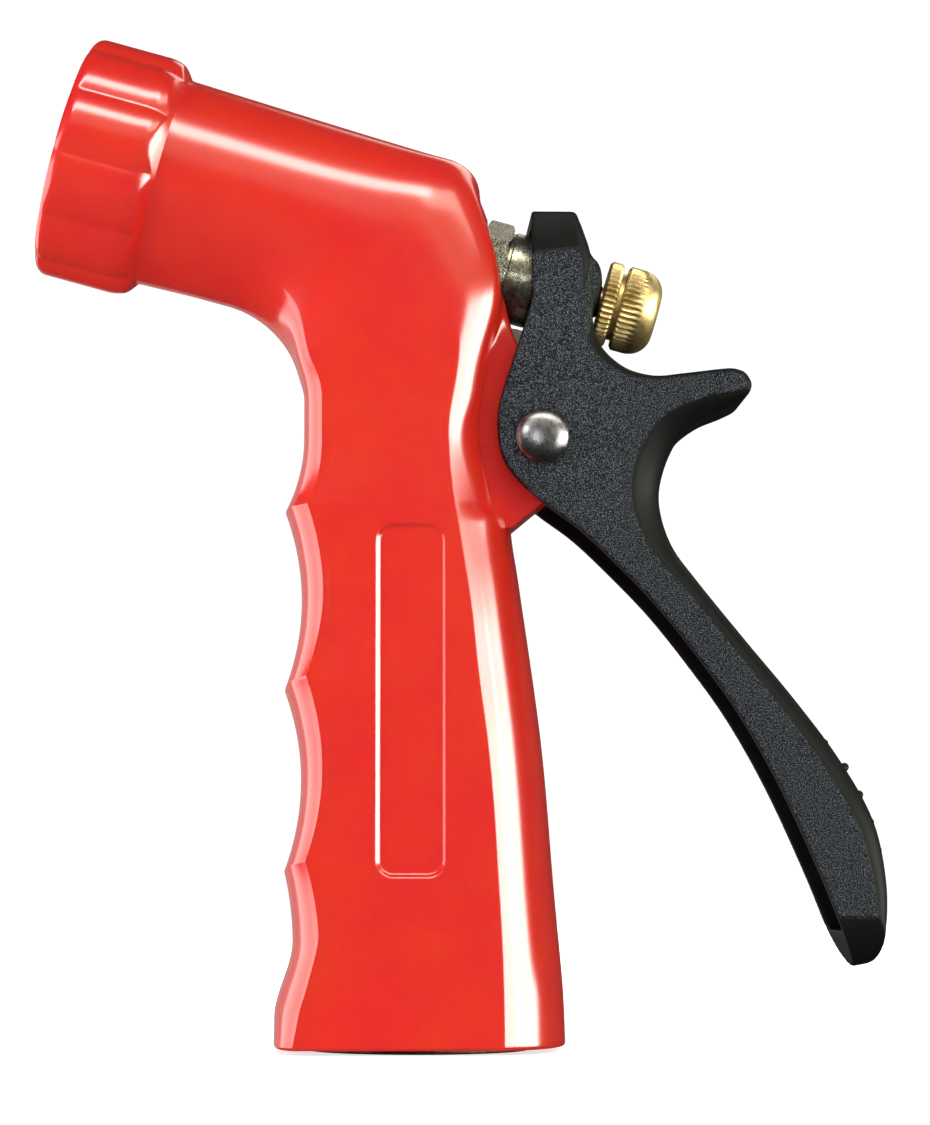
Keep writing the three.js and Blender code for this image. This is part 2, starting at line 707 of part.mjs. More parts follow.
add(nozzle, 'valve_body', geometryOf(makeBody()), CAST_METAL);
add(nozzle, 'rubber_cover', geometryOf(makeJacket()), RED_RUBBER);
add(nozzle, 'inlet_collar', makeInletCollar(), CAST_METAL);
add(nozzle, 'inlet_gasket', makeInletGasket(), SEAL);
add(barrel, 'spray_nozzle', makeSprayNozzle(), BRASS);
add(barrel, 'nozzle_gasket', ring(-46.9, -45.9, CHAMBER_R, 10.6), SEAL);
add(barrel, 'rear_spring_seat', ring(CHAMBER_REAR_U - 1.3, CHAMBER_REAR_U - GAP, STEM_HOLE_R, 7.6), BRASS);
add(barrel, 'packing_ring', ring(CHAMBER_REAR_U + 1.8, 4.5, STEM_HOLE_R, GLAND_SHANK_R, 20), SEAL);
add(barrel, 'packing_follower', ring(4.8, 5.5, STEM_HOLE_R, GLAND_SHANK_R, 20), BRASS);
add(barrel, 'packing_nut', makePackingNut(), ZINC);

add(nozzle, 'lever', makeLever(), BLACK_COAT);
add(nozzle, 'pivot_rivet', makeRivet(), STEEL);

add(barrel, 'valve_stem', makeStem(), BRASS);
add(barrel, 'valve_cone', makeValveCone(), BRASS);
add(barrel, 'valve_seal', ring(-41.7, -40.2, 3, 6.2, 20), SEAL);
add(barrel, 'seal_retainer', ring(-39.9, -38.9, 3, 6.2, 20), BRASS);
add(barrel, 'front_spring_seat', ring(-38.6, -37.4, 3, 6.6, 20), BRASS);
add(barrel, 'return_spring', makeReturnSpring(-37.1, CHAMBER_REAR_U - 1.6), STEEL);
add(barrel, 'adjusting_nut', makeAdjustingNut(), BRASS);
add(barrel, 'cap_lock_nut', makeCapLockNut(), BRASS);

export default nozzle;
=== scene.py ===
"""Looks of the pistol-grip hose nozzle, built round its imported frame.
Lengths are in millimetres until a mesh is made."""

import json
import math

import bmesh
import bpy
import numpy as np
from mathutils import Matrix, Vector


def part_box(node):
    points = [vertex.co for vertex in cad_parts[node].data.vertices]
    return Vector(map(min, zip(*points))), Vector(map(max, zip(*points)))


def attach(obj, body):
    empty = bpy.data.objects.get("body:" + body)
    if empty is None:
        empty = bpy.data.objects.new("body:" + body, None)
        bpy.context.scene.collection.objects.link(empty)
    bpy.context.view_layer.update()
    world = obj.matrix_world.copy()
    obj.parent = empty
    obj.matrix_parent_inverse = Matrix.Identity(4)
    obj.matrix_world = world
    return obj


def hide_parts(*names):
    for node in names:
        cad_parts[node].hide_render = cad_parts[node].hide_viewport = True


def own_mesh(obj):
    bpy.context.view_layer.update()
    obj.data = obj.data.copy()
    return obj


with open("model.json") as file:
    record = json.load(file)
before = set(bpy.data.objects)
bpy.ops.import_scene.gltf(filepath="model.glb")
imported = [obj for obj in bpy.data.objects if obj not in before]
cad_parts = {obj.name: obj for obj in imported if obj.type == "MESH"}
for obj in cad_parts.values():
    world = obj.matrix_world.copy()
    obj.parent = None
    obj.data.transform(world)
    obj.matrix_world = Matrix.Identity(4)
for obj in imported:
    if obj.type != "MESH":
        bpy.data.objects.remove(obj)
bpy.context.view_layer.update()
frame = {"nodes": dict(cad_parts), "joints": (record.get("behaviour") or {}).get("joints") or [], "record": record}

# ---------------------------------------------------------------- places taken from the frame

MM = 0.001
JOINTS = {joint["name"]: joint for joint in frame["joints"]}
PIVOT_X, _, PIVOT_Z = (value / MM for value in JOINTS["lever_pivot"]["pos_m"])
ALONG = np.array([JOINTS["stem_slide"]["axis"][0], JOINTS["stem_slide"]["axis"][2]])
ALONG = ALONG / np.linalg.norm(ALONG)
ACROSS = np.array([-ALONG[1], ALONG[0]])
NUT_PLACE = np.array(JOINTS["adjusting_nut_turn"]["pos_m"]) / MM
AXIS_Z = NUT_PLACE[2] - NUT_PLACE[0] * ALONG[1] / ALONG[0]


def node_points(node):
    """Vertices of a CAD node in millimetres."""
    mesh = frame["nodes"][node].data
    points = np.empty(3 * len(mesh.vertices))
    mesh.vertices.foreach_get("co", points)
    return points.reshape(-1, 3) / MM


def corners(node):
    """Lowest and highest corner of a CAD node in millimetres."""
    low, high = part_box(node)
    return np.array(low) / MM, np.array(high) / MM


def barrel_coordinates(x, z):
    """Distance along the barrel axis and across it, for a side-view point."""
    rise = z - AXIS_Z
    return ALONG[0] * x + ALONG[1] * rise, ACROSS[0] * x + ACROSS[1] * rise


def barrel_point(u, n):
    """Side-view point at a distance along the barrel axis and across it."""
    return np.array([0, AXIS_Z]) + np.multiply.outer(u, ALONG) + np.multiply.outer(n, ACROSS)


def barrel_span(node):
    """Front end, rear end and largest radius of a CAD node along the barrel axis."""
    x, y, z = node_points(node).T
    u, n = barrel_coordinates(x, z)
    return u.min(), u.max(), np.hypot(y, n).max()


# ---------------------------------------------------------------- curves

def smooth(t):
    t = np.clip(t, 0, 1)
    return t * t * (3 - 2 * t)


def eased(value, start, span):
    """0 before a start and 1 past a span from it, with a smooth step between."""
    return float(smooth((value - start) / span))


def mix(a, b, t):
    return a + (b - a) * t


def spline(points, per_span=12):
    """Catmull-Rom curve through the points."""
    p = np.array(points, float)
    padded = np.vstack([2 * p[0] - p[1], p, 2 * p[-1] - p[-2]])
    t = np.linspace(0, 1, per_span, endpoint=False)[:, None]
    spans = []
    for a, b, c, d in zip(padded, padded[1:], padded[2:], padded[3:]):
        spans.append(0.5 * (2 * b + (c - a) * t + (2 * a - 5 * b + 4 * c - d) * t ** 2
                            + (3 * b - a - 3 * c + d) * t ** 3))
    return np.vstack(spans + [p[-1:]])


def bezier(p0, p1, p2, p3, t):
    t = np.asarray(t)[:, None]
    s = 1 - t
    p0, p1, p2, p3 = (np.asarray(p, float) for p in (p0, p1, p2, p3))
    return s ** 3 * p0 + 3 * s * s * t * p1 + 3 * s * t * t * p2 + t ** 3 * p3


def by_height(points):
    """x of a side-view curve as a function of height."""
    dense = spline(points)
    order = np.argsort(dense[:, 1])
    heights, values = dense[order, 1], dense[order, 0]
    return lambda z: np.interp(z, heights, values)


def crossing(line, origin, direction):
    """Distance from the origin to where a ray leaves a side-view line."""
    a, b = line[:-1] - origin, line[1:] - line[:-1]
    det = direction[0] * b[:, 1] - direction[1] * b[:, 0]
    with np.errstate(divide="ignore", invalid="ignore"):
        along = (a[:, 0] * b[:, 1] - a[:, 1] * b[:, 0]) / det
        share = (a[:, 0] * direction[1] - a[:, 1] * direction[0]) / det
    found = along[(along > 0) & (share >= -1e-6) & (share <= 1 + 1e-6)]
    return found.min() if len(found) else None


# ---------------------------------------------------------------- meshes

def solid(name, points, faces):
    """An object from points in millimetres, with its faces turned outwards."""
    mesh = bpy.data.meshes.new(name)
    mesh.from_pydata((np.asarray(points) * MM).tolist(), [], faces)
    bm = bmesh.new()
    bm.from_mesh(mesh)
    bmesh.ops.recalc_face_normals(bm, faces=bm.faces)
    bm.to_mesh(mesh)
    bm.free()
    made = bpy.data.objects.new(name, mesh)
    bpy.context.scene.collection.objects.link(made)
    return made


def carve(made, cutter, operation="DIFFERENCE"):
    """Cuts or joins a solid with another, which is used up."""
    modifier = made.modifiers.new("carve", "BOOLEAN")
    modifier.operation = operation
    modifier.solver = "MANIFOLD"
    modifier.object = cutter
    depsgraph = bpy.context.evaluated_depsgraph_get()
    mesh = bpy.data.meshes.new_from_object(made.evaluated_get(depsgraph))
    made.modifiers.clear()
    made.data = mesh
    bpy.data.objects.remove(cutter)


def piece(made, body, slot, nodes, sharp=38):
    """Finishes a piece: smooth shading with crisp edges, its material, its body and what it stands for."""
    mesh = made.data
    mesh.shade_smooth()
    mesh.set_sharp_from_angle(angle=math.radians(sharp))
    mesh.materials.clear()
    mesh.materials.append(MATERIALS[slot])
    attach(made, body)
    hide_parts(*nodes)
    return made


def ring_faces(rows, columns, closed=False):
    """Quads between rings of points. When closed, the last ring joins the first."""
    faces = []
    for row in range(rows if closed else rows - 1):
        here, following = row * columns, (row + 1) % rows * columns
        for k in range(columns):
            beside = (k + 1) % columns
            faces.append((here + k, here + beside, following + beside, following + k))
    return faces


def closed_loft(rings):
    """Points and faces of a row of rings whose two ends are closed by fans."""
    rings = np.asarray(rings, float)
    rows, columns, _ = rings.shape
    points = np.vstack([rings.reshape(-1, 3), rings[0].mean(0), rings[-1].mean(0)])
    faces = ring_faces(rows, columns)
    first, last = rows * columns, rows * columns + 1
    end = (rows - 1) * columns
    for k in range(columns):
        beside = (k + 1) % columns
        faces.append((first, beside, k))
        faces.append((last, end + k, end + beside))
    return points, faces


def rounded(profile, radius, steps=5):
    """A profile with its inner corners rounded; a third number in a point sets its own radius."""
    points = [np.array(p[:2], float) for p in profile]
    radii = [p[2] if len(p) > 2 else radius for p in profile]
    made = [points[0]]
    for before, corner, after, r in zip(points, points[1:], points[2:], radii[1:]):
        back, ahead = before - corner, after - corner
        back_length, ahead_length = np.linalg.norm(back), np.linalg.norm(ahead)
        r = min(r, 0.45 * back_length, 0.45 * ahead_length)
        if r < 1e-4:
            made.append(corner)
            continue
        start, end = corner + back / back_length * r, corner + ahead / ahead_length * r
        for t in np.linspace(0, 1, steps):
            made.append((1 - t) ** 2 * start + 2 * t * (1 - t) * corner + t * t * end)
    made.append(points[-1])
    return made


def turned(profile, steps, radius_at=None, ring=False):
    """Points and faces of a turned solid about the barrel's local axis, from [u, radius] pairs.
    radius_at(u, radius, angles) may give it lobes, flats or knurls. A ring closes on itself."""
    angles = np.arange(steps) * 2 * math.pi / steps
    rings = []
    for u, r in profile:
        radii = np.full(steps, float(r)) if radius_at is None else radius_at(u, r, angles)
        rings.append(np.stack([np.full(steps, u), -radii * np.cos(angles), radii * np.sin(angles)], -1))
    if not ring:
        return closed_loft(rings)
    return np.vstack(rings), ring_faces(len(rings), steps, closed=True)


def bore(start, end, radius):
    """Profile of a plain round bore."""
    return [(start, 0), (start, radius), (end, radius), (end, 0)]


def on_barrel(points):
    """Moves points made about the local axis (u, y, n) onto the barrel's axis."""
    u, y, n = np.asarray(points, float).T
    x, z = barrel_point(u, n).T
    return np.stack([x, y, z], -1)


def upright(points):
    """Stands points made about the local axis upright, with u as height."""
    u, y, n = np.asarray(points, float).T
    return np.stack([-n, y, u], -1)


def on_pivot(points):
    """Lays points made about the local axis along +Y at the pivot."""
    u, y, n = np.asarray(points, float).T
    return np.stack([PIVOT_X - y, u, PIVOT_Z + n], -1)


def turned_solid(name, profile, steps, radius_at=None, ring=False, lay=on_barrel):
    points, faces = turned(profile, steps, radius_at, ring)
    return solid(name, lay(points), faces)


def plate(name, outline, half_width):
    """A plate of a side-view outline, centred across the grip."""
    x, z = np.asarray(outline, float).T
    count = len(x)
    points = np.vstack([np.stack([x, np.full(count, y), z], -1) for y in (-half_width, half_width)])
    ends = [tuple(range(count))[::-1], tuple(range(count, 2 * count))]
    return solid(name, points, ring_faces(2, count) + ends)


# ---------------------------------------------------------------- node materials

class Look:
    """A Principled material and short calls for the nodes that feed it."""

    def __init__(self, name, **values):
        self.material = bpy.data.materials.new(name)
        self.material.use_nodes = True
        self.nodes = self.material.node_tree.nodes
        self.links = self.material.node_tree.links
        self.shader = self.nodes["Principled BSDF"]
        self.place = self.nodes.new("ShaderNodeTexCoord").outputs["Object"]
        self.heights = []
        for socket, value in values.items():
            self.shader.inputs[socket.replace("_", " ")].default_value = value

    def noise(self, size, detail=4, rough=0.55, distortion=0):
        """Noise whose features are about the given size in millimetres."""
        node = self.nodes.new("ShaderNodeTexNoise")
        node.inputs["Scale"].default_value = 1 / (size * MM)
        node.inputs["Detail"].default_value = detail
        node.inputs["Roughness"].default_value = rough
        node.inputs["Distortion"].default_value = distortion
        self.links.new(self.place, node.inputs["Vector"])
        return node.outputs["Fac"]

    def pebbles(self, size):
        """Rounded cells about the given size in millimetres."""
        node = self.nodes.new("ShaderNodeTexVoronoi")
        node.inputs["Scale"].default_value = 1 / (size * MM)
        self.links.new(self.place, node.inputs["Vector"])
        return node.outputs["Distance"]

    def attribute(self, name):
        node = self.nodes.new("ShaderNodeAttribute")
        node.attribute_name = name
        return node.outputs["Fac"]

    def ramp(self, source, *stops):
        """Colours or values at places along a 0 to 1 source."""
        node = self.nodes.new("ShaderNodeValToRGB")
        elements = node.color_ramp.elements
        while len(elements) < len(stops):
            elements.new(0.5)
        for element, (place, colour) in zip(elements, stops):
            element.position = place
            colour = (colour,) * 3 if isinstance(colour, (int, float)) else colour
            element.color = (*colour, 1)
        self.links.new(source, node.inputs["Fac"])
        return node.outputs["Color"]

    def math(self, operation, a, b):
        node = self.nodes.new("ShaderNodeMath")
        node.operation = operation
        for socket, value in zip(node.inputs, (a, b)):
            if isinstance(value, (int, float)):
                socket.default_value = value
            else:
                self.links.new(value, socket)
        return node.outputs[0]

    def blend(self, share, a, b, kind="MIX"):
        """Mix of two colours by a share."""
        node = self.nodes.new("ShaderNodeMix")
        node.data_type = "RGBA"
        node.blend_type = kind
        for socket, value in zip((node.inputs[0], node.inputs[6], node.inputs[7]), (share, a, b)):
            if isinstance(value, (int, float)):
                socket.default_value = value
            elif isinstance(value, tuple):
                socket.default_value = (*value, 1)
            else:
                self.links.new(value, socket)
        return node.outputs[2]

    def feed(self, socket, source):
        self.links.new(source, self.shader.inputs[socket])

    def bump(self, height, distance, strength=1.0):
        """Adds a bump of the given depth in millimetres on top of those before it."""
        node = self.nodes.new("ShaderNodeBump")
        node.inputs["Distance"].default_value = distance * MM
        node.inputs["Strength"].default_value = strength
        self.links.new(height, node.inputs["Height"])
        if self.heights:
            self.links.new(self.heights[-1], node.inputs["Normal"])
        self.heights.append(node.outputs["Normal"])
        self.links.new(node.outputs["Normal"], self.shader.inputs["Normal"])


def red_rubber():
    """Glossy red moulded rubber with a faint orange-peel skin."""
    look = Look("red_rubber", Specular_IOR_Level=0.0, Coat_Weight=1.0, Coat_Roughness=0.19, Coat_IOR=1.8)
    cloud = look.noise(9, 3)
    grain = look.noise(0.35, 2)
    colour = look.ramp(cloud, (0.3, (0.89, 0.021, 0.020)), (0.7, (0.92, 0.036, 0.014)))
    speck = look.ramp(grain, (0.35, (0.95, 0.95, 0.95)), (0.65, (1.0, 1.0, 1.0)))
    look.feed("Base Color", look.blend(1.0, colour, speck, "MULTIPLY"))
    look.feed("Roughness", look.ramp(look.noise(2.5), (0.3, 0.36), (0.7, 0.46)))
    look.bump(look.noise(0.9, 2), 0.012, 0.5)
    look.bump(grain, 0.006, 0.5)
    return look.material


def black_coat():
    """Black powder coat: a grain with painted glints, pale specks in its base colour that stand for its sparkle,
    where the attribute "grain" is set; satin elsewhere.
    """
    look = Look("black_coat", Specular_IOR_Level=0.075)
    grain = look.attribute("grain")
    pebbles = look.pebbles(0.32)
    fine = look.noise(0.21, 3, 0.7)
    # painted glints: pale specks in the base colour that stand for the sparkle of the grained coat
    painted_glint_specks = look.ramp(look.noise(0.145, 1, 0.5), (0.53, 0.0), (0.66, 1.0))
    painted_glints = look.math("MULTIPLY", painted_glint_specks, grain)
    dark = look.ramp(look.noise(6, 3), (0.3, (0.007, 0.0075, 0.007)), (0.7, (0.010, 0.0105, 0.010)))
    blue_black = look.ramp(fine, (0.35, (0.003, 0.004, 0.005)), (0.65, (0.020, 0.024, 0.030)))
    ground = look.blend(grain, dark, blue_black)
    # the painted glints lighten the base colour towards a pale blue-grey
    look.feed("Base Color", look.blend(look.math("MULTIPLY", painted_glints, 0.8), ground, (0.28, 0.31, 0.36)))
    look.feed("Roughness", look.ramp(grain, (0.0, 0.5), (1.0, 0.4)))
    height = look.math("ADD", look.math("MULTIPLY", pebbles, 0.5), fine)
    look.bump(look.math("MULTIPLY", height, grain), 0.32, 1.0)
    look.bump(look.noise(0.5, 2), 0.01, 0.35)
    return look.material


def mottled(name, cloud, colours, sheen, roughness, relief, depth, strength, **values):
    """A material whose colour and roughness wander with noise, over a fine relief of the given depth.
    cloud, sheen and relief are the size and further settings of the three noises."""
    look = Look(name, **values)
    look.feed("Base Color", look.ramp(look.noise(*cloud), *colours))
    look.feed("Roughness", look.ramp(look.noise(*sheen), *roughness))
    look.bump(look.noise(*relief), depth, strength)
    return look.material


MATERIALS = {
    "red_rubber": red_rubber(),
    "black_coat": black_coat(),
    "knob_brass": mottled(
        "knob_brass", (1.6, 4, 0.6),
        ((0.3, (0.46, 0.33, 0.125)), (0.5, (0.62, 0.47, 0.205)), (0.75, (0.72, 0.57, 0.30))),
        (0.7,), ((0.3, 0.34), (0.75, 0.48)), (0.18, 2), 0.012, 0.5, Metallic=0.88),
    "brass": mottled(
        "brass", (2.5,), ((0.3, (0.50, 0.35, 0.14)), (0.7, (0.68, 0.50, 0.22))),
        (1.2,), ((0.3, 0.26), (0.7, 0.42)), (0.12, 2), 0.01, 0.4, Metallic=1.0),
    # yellow-grey plating with darker and bluer patches
    "zinc_plate": mottled(
        "zinc_plate", (1.5, 5, 0.72, 0.6),
        ((0.34, (0.16, 0.15, 0.10)), (0.45, (0.29, 0.29, 0.23)), (0.53, (0.36, 0.32, 0.20)),
         (0.60, (0.38, 0.40, 0.37)), (0.74, (0.52, 0.56, 0.55))),
        (0.6, 4, 0.7), ((0.3, 0.18), (0.7, 0.34)), (0.5, 4, 0.75), 0.06, 0.6, Metallic=0.9),
    "rivet_steel": mottled(
        "rivet_steel", (1.1, 4, 0.65), ((0.3, (0.15, 0.15, 0.15)), (0.7, (0.25, 0.25, 0.25))),
        (0.5,), ((0.3, 0.24), (0.7, 0.36)), (1.3, 3, 0.6), 0.05, 0.5, Metallic=1.0),
    "cast_body": mottled(
        "cast_body", (1.2, 5, 0.6), ((0.3, (0.30, 0.29, 0.27)), (0.7, (0.48, 0.47, 0.44))),
        (0.8,), ((0.3, 0.42), (0.7, 0.62)), (0.4, 4, 0.7), 0.05, 0.6, Metallic=0.85),
    "cast_collar": mottled(
        "cast_collar", (1.2, 5, 0.6), ((0.3, (0.085, 0.065, 0.04)), (0.7, (0.21, 0.175, 0.12))),
        (0.8,), ((0.3, 0.42), (0.7, 0.62)), (0.4, 4, 0.7), 0.05, 0.6, Metallic=0.85),
    "black_rubber": mottled(
        "black_rubber", (1.5,), ((0.3, (0.012, 0.012, 0.012)), (0.7, (0.022, 0.022, 0.021))),
        (0.9,), ((0.3, 0.6), (0.7, 0.8)), (0.25, 3), 0.02, 0.6, Specular_IOR_Level=0.4),
    "spring_steel": mottled(
        "spring_steel", (0.8,), ((0.3, (0.40, 0.40, 0.40)), (0.7, (0.56, 0.56, 0.55))),
        (0.5,), ((0.3, 0.25), (0.7, 0.4)), (0.2, 2), 0.01, 0.4, Metallic=1.0),
}

for sub_part in frame["record"]["subparts"]:
    for material_slot in frame["nodes"][sub_part["node"]].material_slots:
        material_slot.material = MATERIALS[sub_part["material_slot"]]

# ---------------------------------------------------------------- rubber jacket: driving sizes

WALL, CLEARANCE = 2.6, 0.3
BARREL_FRONT_U, BARREL_REAR_U = -38.5, -1.5
BARREL_R_FRONT, BARREL_R_REAR = 14.8, 13.6
ELBOW_CENTRE, ELBOW_R = np.array([-30.95, 89.4]), 15.0
FAN_ANGLE = math.pi / 2 + math.atan2(ALONG[1], ALONG[0])
NECK_X, NECK_Z = -15.95, 84.5
FIRST_RIDGE_Z, FINGER_PITCH, GROOVES, GROOVE_DEPTH = 74.3, 25.0, 2, 2.25
VALLEY_X = -16.2
FOOT_X, FOOT_Z, BOTTOM_Z = -19.75, 4.5, 0.6
LAST_VALLEY_X, LAST_VALLEY_Z = -17.3, 14.8
EAR_LOW_Z, EAR_HALF, EAR_R, EAR_LEAD = 71.9, 6.4, 7.4, math.radians(17)
CORNER_U = 5.7
FRONT_STEPS, SIDE_STEPS, REAR_STEPS = 28, 60, 44
HALF_STEPS = FRONT_STEPS + SIDE_STEPS + REAR_STEPS
SHOULDER_STEPS = 28
# depth of the bevelled front from the front edge to the flat side, by height
BEVEL_HEIGHTS = [0, 4.6, 8, 16, 26, 60, 76, 84, 89.4]
BEVEL_DEPTHS = [2.6, 3.5, 3.9, 3.8, 3.1, 3.1, 3.2, 2.6, 2.6]
FOOT_HALF, ELBOW_HALF, SIDE_CROWN = 17.75, 13.35, 0.42
ELBOW_END_U, RIDGE_SLANT, GROOVE_DIP, EDGE_R = -27, 1.5, 0.5, 0.5
# rooms in the rubber and the casting for what passes through them
RUBBER_PIN_R, CASTING_PIN_R = 2.9, 2.7
RUBBER_GLAND_R, CASTING_GLAND_R, CHAMBER_R, WATERWAY_R = 7.5, 5.3, 8.5, 6
RUBBER_LUG_HALF, CASTING_LUG_HALF, BOSS_R = 4.9, 4.6, 7.2

# blank raised-edge panel sunk into each side of the grip
PANEL_CENTRE = np.array([-1.15, 47.65])
PANEL_HALF = np.array([4.85, 24.15])
PANEL_CORNER, PANEL_DEPTH, PANEL_WALL = 2.5, 0.5, 0.75

REAR_CREASE = by_height([
    (11.3, -2), (11.25, 6), (11.05, 14), (10.6, 23), (9.95, 33), (9.0, 43), (7.85, 52), (6.95, 60),
    (5.6, 69), (4.4, 77), (3.9, 83), (4.05, 87), (4.9, 92), (6.2, 98.3), (8.0, 103.5), (9.5, 108)])
SHOULDER = spline([
    (11.95, 71.2), (10.9, 73.2), (9.5, 78.4), (8.5, 83.8), (8.4, 87), (9.1, 92.4), (9.9, 97.3),
    (11.3, 103.5), (12.2, 108)])
BACK = spline([
    (8.7, 118.6), (9.9, 115), (11.3, 108), (11.9, 103), (12.3, 96), (12.5, 88), (12.7, 80), (13.05, 71.5),
    (14.3, 63), (17.2, 42), (18.9, 22), (20.1, 8.8), (20.45, BOTTOM_Z), (20.6, -4)])
BACK_X = by_height([tuple(p) for p in BACK])


def ear_outline():
    """Edge of the rubber ear round the pivot lug, from its lower root upwards."""
    turn = np.linspace(-0.8, 1.3, 24)
    arc = np.stack([PIVOT_X + EAR_R * np.cos(turn), PIVOT_Z + EAR_R * np.sin(turn)], -1)
    upper = [(13.6, 97.5), (13.0, 101.2), (11.5, 107.2), (10.6, 112)]
    return np.vstack([[(12.95, EAR_LOW_Z), (17.05, 75.3)], arc, upper])


EAR = ear_outline()


def barrel_radius(u):
    share = np.clip((u - BARREL_FRONT_U) / (BARREL_REAR_U - BARREL_FRONT_U), 0, 1)
    return mix(BARREL_R_FRONT, BARREL_R_REAR, share)


def outer_outline():
    """Top of the barrel and the corner above the packing nut, joined to the back."""
    rise = (BARREL_R_FRONT - BARREL_R_REAR) / (BARREL_REAR_U - BARREL_FRONT_U)
    far_u = -60.0
    far = barrel_point(far_u, BARREL_R_FRONT + rise * (BARREL_FRONT_U - far_u))
    top = barrel_point(BARREL_REAR_U, BARREL_R_REAR)
    start, corner = barrel_point(CORNER_U - 4.5, BARREL_R_REAR), barrel_point(CORNER_U, BARREL_R_REAR - 0.4)
    t = np.linspace(0, 1, 12)[:, None]
    bend = (1 - t) ** 2 * start + 2 * t * (1 - t) * corner + t * t * BACK[0]
    return np.vstack([[far, top], bend, BACK[1:]])


OUTER = outer_outline()


def front_x(z):
    """Front edge of the grip: neck, finger grooves and flared foot."""
    last_ridge = FIRST_RIDGE_Z - GROOVES * FINGER_PITCH
    ridge_x = VALLEY_X - GROOVE_DEPTH
    if z >= NECK_Z:
        return NECK_X
    if z >= FIRST_RIDGE_Z:
        return mix(NECK_X, ridge_x, ((NECK_Z - z) / (NECK_Z - FIRST_RIDGE_Z)) ** 2)
    if z >= last_ridge:
        s = 2 * (((FIRST_RIDGE_Z - z) / FINGER_PITCH) % 1) - 1
        return VALLEY_X - GROOVE_DEPTH * s * s
    if z >= LAST_VALLEY_Z:
        return mix(LAST_VALLEY_X, ridge_x, ((z - LAST_VALLEY_Z) / (last_ridge - LAST_VALLEY_Z)) ** 2)
    return mix(FOOT_X, LAST_VALLEY_X, eased(z, FOOT_Z, LAST_VALLEY_Z - FOOT_Z))


def groove_share(z):
    """How deep a level is in its finger groove, from 0 on a ridge to 1 in the middle."""
    if not FIRST_RIDGE_Z - GROOVES * FINGER_PITCH < z < FIRST_RIDGE_Z:
        near = FIRST_RIDGE_Z if z >= FIRST_RIDGE_Z else FIRST_RIDGE_Z - GROOVES * FINGER_PITCH
        fading = 1 - smooth((z - 78) / 10)
        return float(0.8 * smooth(abs(z - near) / (0.5 * FINGER_PITCH)) * fading)
    s = 2 * (((FIRST_RIDGE_Z - z) / FINGER_PITCH) % 1) - 1
    return 1 - s * s


def grip_half_width(z):
    return mix(FOOT_HALF, ELBOW_HALF, min(max(z / ELBOW_CENTRE[1], 0), 1) ** 0.75)


def crown(share):
    """How far the flat side bulges, at a share of the way from its front crease to its rear one."""
    return SIDE_CROWN * 4 * share * (1 - share)


def recess(x, z):
    """Depth of the blank panel below the side of the grip."""
    away = np.abs(np.stack([x, np.full_like(x, z)], -1) - PANEL_CENTRE) - PANEL_HALF + PANEL_CORNER
    outside = np.linalg.norm(np.maximum(away, 0), axis=-1) + np.minimum(away.max(-1), 0) - PANEL_CORNER
    return PANEL_DEPTH * smooth(-outside / PANEL_WALL)


def side_places(x_front, x_rear, z):
    """x of the side's columns between the two creases, gathered at the panel's edges beside it."""
    even = np.linspace(x_front, x_rear, SIDE_STEPS + 1)
    low, high = PANEL_CENTRE[0] - PANEL_HALF[0], PANEL_CENTRE[0] + PANEL_HALF[0]
    right_end = min(high + 1.0, x_rear - 0.5)
    gathered = np.concatenate([
        mix(x_front, low - 1.0, np.linspace(0, 1, 9)[:-1] ** 1.5),
        np.linspace(low - 1.0, low + 2.8, 20)[:-1],
        np.linspace(low + 2.8, high - 2.8, 9)[:-1],
        np.linspace(high - 2.8, right_end, 20)[:-1],
        mix(x_rear, right_end, np.linspace(1, 0, 7) ** 1.5)])
    margin = 6.0
    share = smooth((z - 16) / margin) * (1 - smooth((z - 73.5) / margin))
    return mix(even, gathered, share)


def front_profile(depth, half_width):
    """Front of a section, from its middle to the crease where the flat side starts."""
    t = np.linspace(0, 1, FRONT_STEPS + 1)
    return bezier((0, 0), (0, 0.62 * half_width), (depth - 2.3, half_width - 2.3), (depth, half_width), t)


def arc_profile(crease, half_width, length):
    """Plain rounded back of a section, with columns matched to those of the ear."""
    lead = math.radians(12)
    reach = (length - crease) / (1 - math.sin(lead))
    height = half_width / math.cos(lead)
    knee = math.acos(min(EAR_HALF / height, 1))
    first = np.linspace(0, 1, SHOULDER_STEPS + 1) ** 1.15
    turn = mix(lead, knee, first)
    levels = np.linspace(EAR_HALF, 0, REAR_STEPS - SHOULDER_STEPS + 1)[1:]
    turn = np.concatenate([turn, np.arccos(levels / height)])
    along = crease + reach * (np.sin(turn) - math.sin(lead))
    return np.stack([along, height * np.cos(turn)], -1)


def ear_profile(crease, half_width, shoulder, length, fullness):
    """Back of a section with the flat ear standing out of a rounded shoulder.
    fullness goes from 0, a hollow shoulder, to 1, a plump one."""
    width, drop = shoulder - crease, half_width - EAR_HALF
    start = (crease, half_width)
    lean = width * mix(0.42, 0.78, fullness)
    first = (crease + lean * math.cos(EAR_LEAD), half_width - lean * math.sin(EAR_LEAD))
    second = (shoulder - 0.04 * width, EAR_HALF + drop * mix(0.36, 0.58, fullness))
    t = np.linspace(0, 1, SHOULDER_STEPS + 1)
    curve = bezier(start, first, second, (shoulder, EAR_HALF), t)
    edge = min(EDGE_R, 0.5 * (length - shoulder))
    plane = np.linspace(shoulder, length - edge, 9)[1:]
    turn = np.linspace(0, math.pi / 2, 5)[1:]
    flat = np.linspace(EAR_HALF - edge, 0, 5)[1:]
    return np.vstack([
        curve,
        np.stack([plane, np.full(8, EAR_HALF)], -1),
        np.stack([length - edge + edge * np.sin(turn), EAR_HALF - edge + edge * np.cos(turn)], -1),
        np.stack([np.full(4, length), flat], -1)])


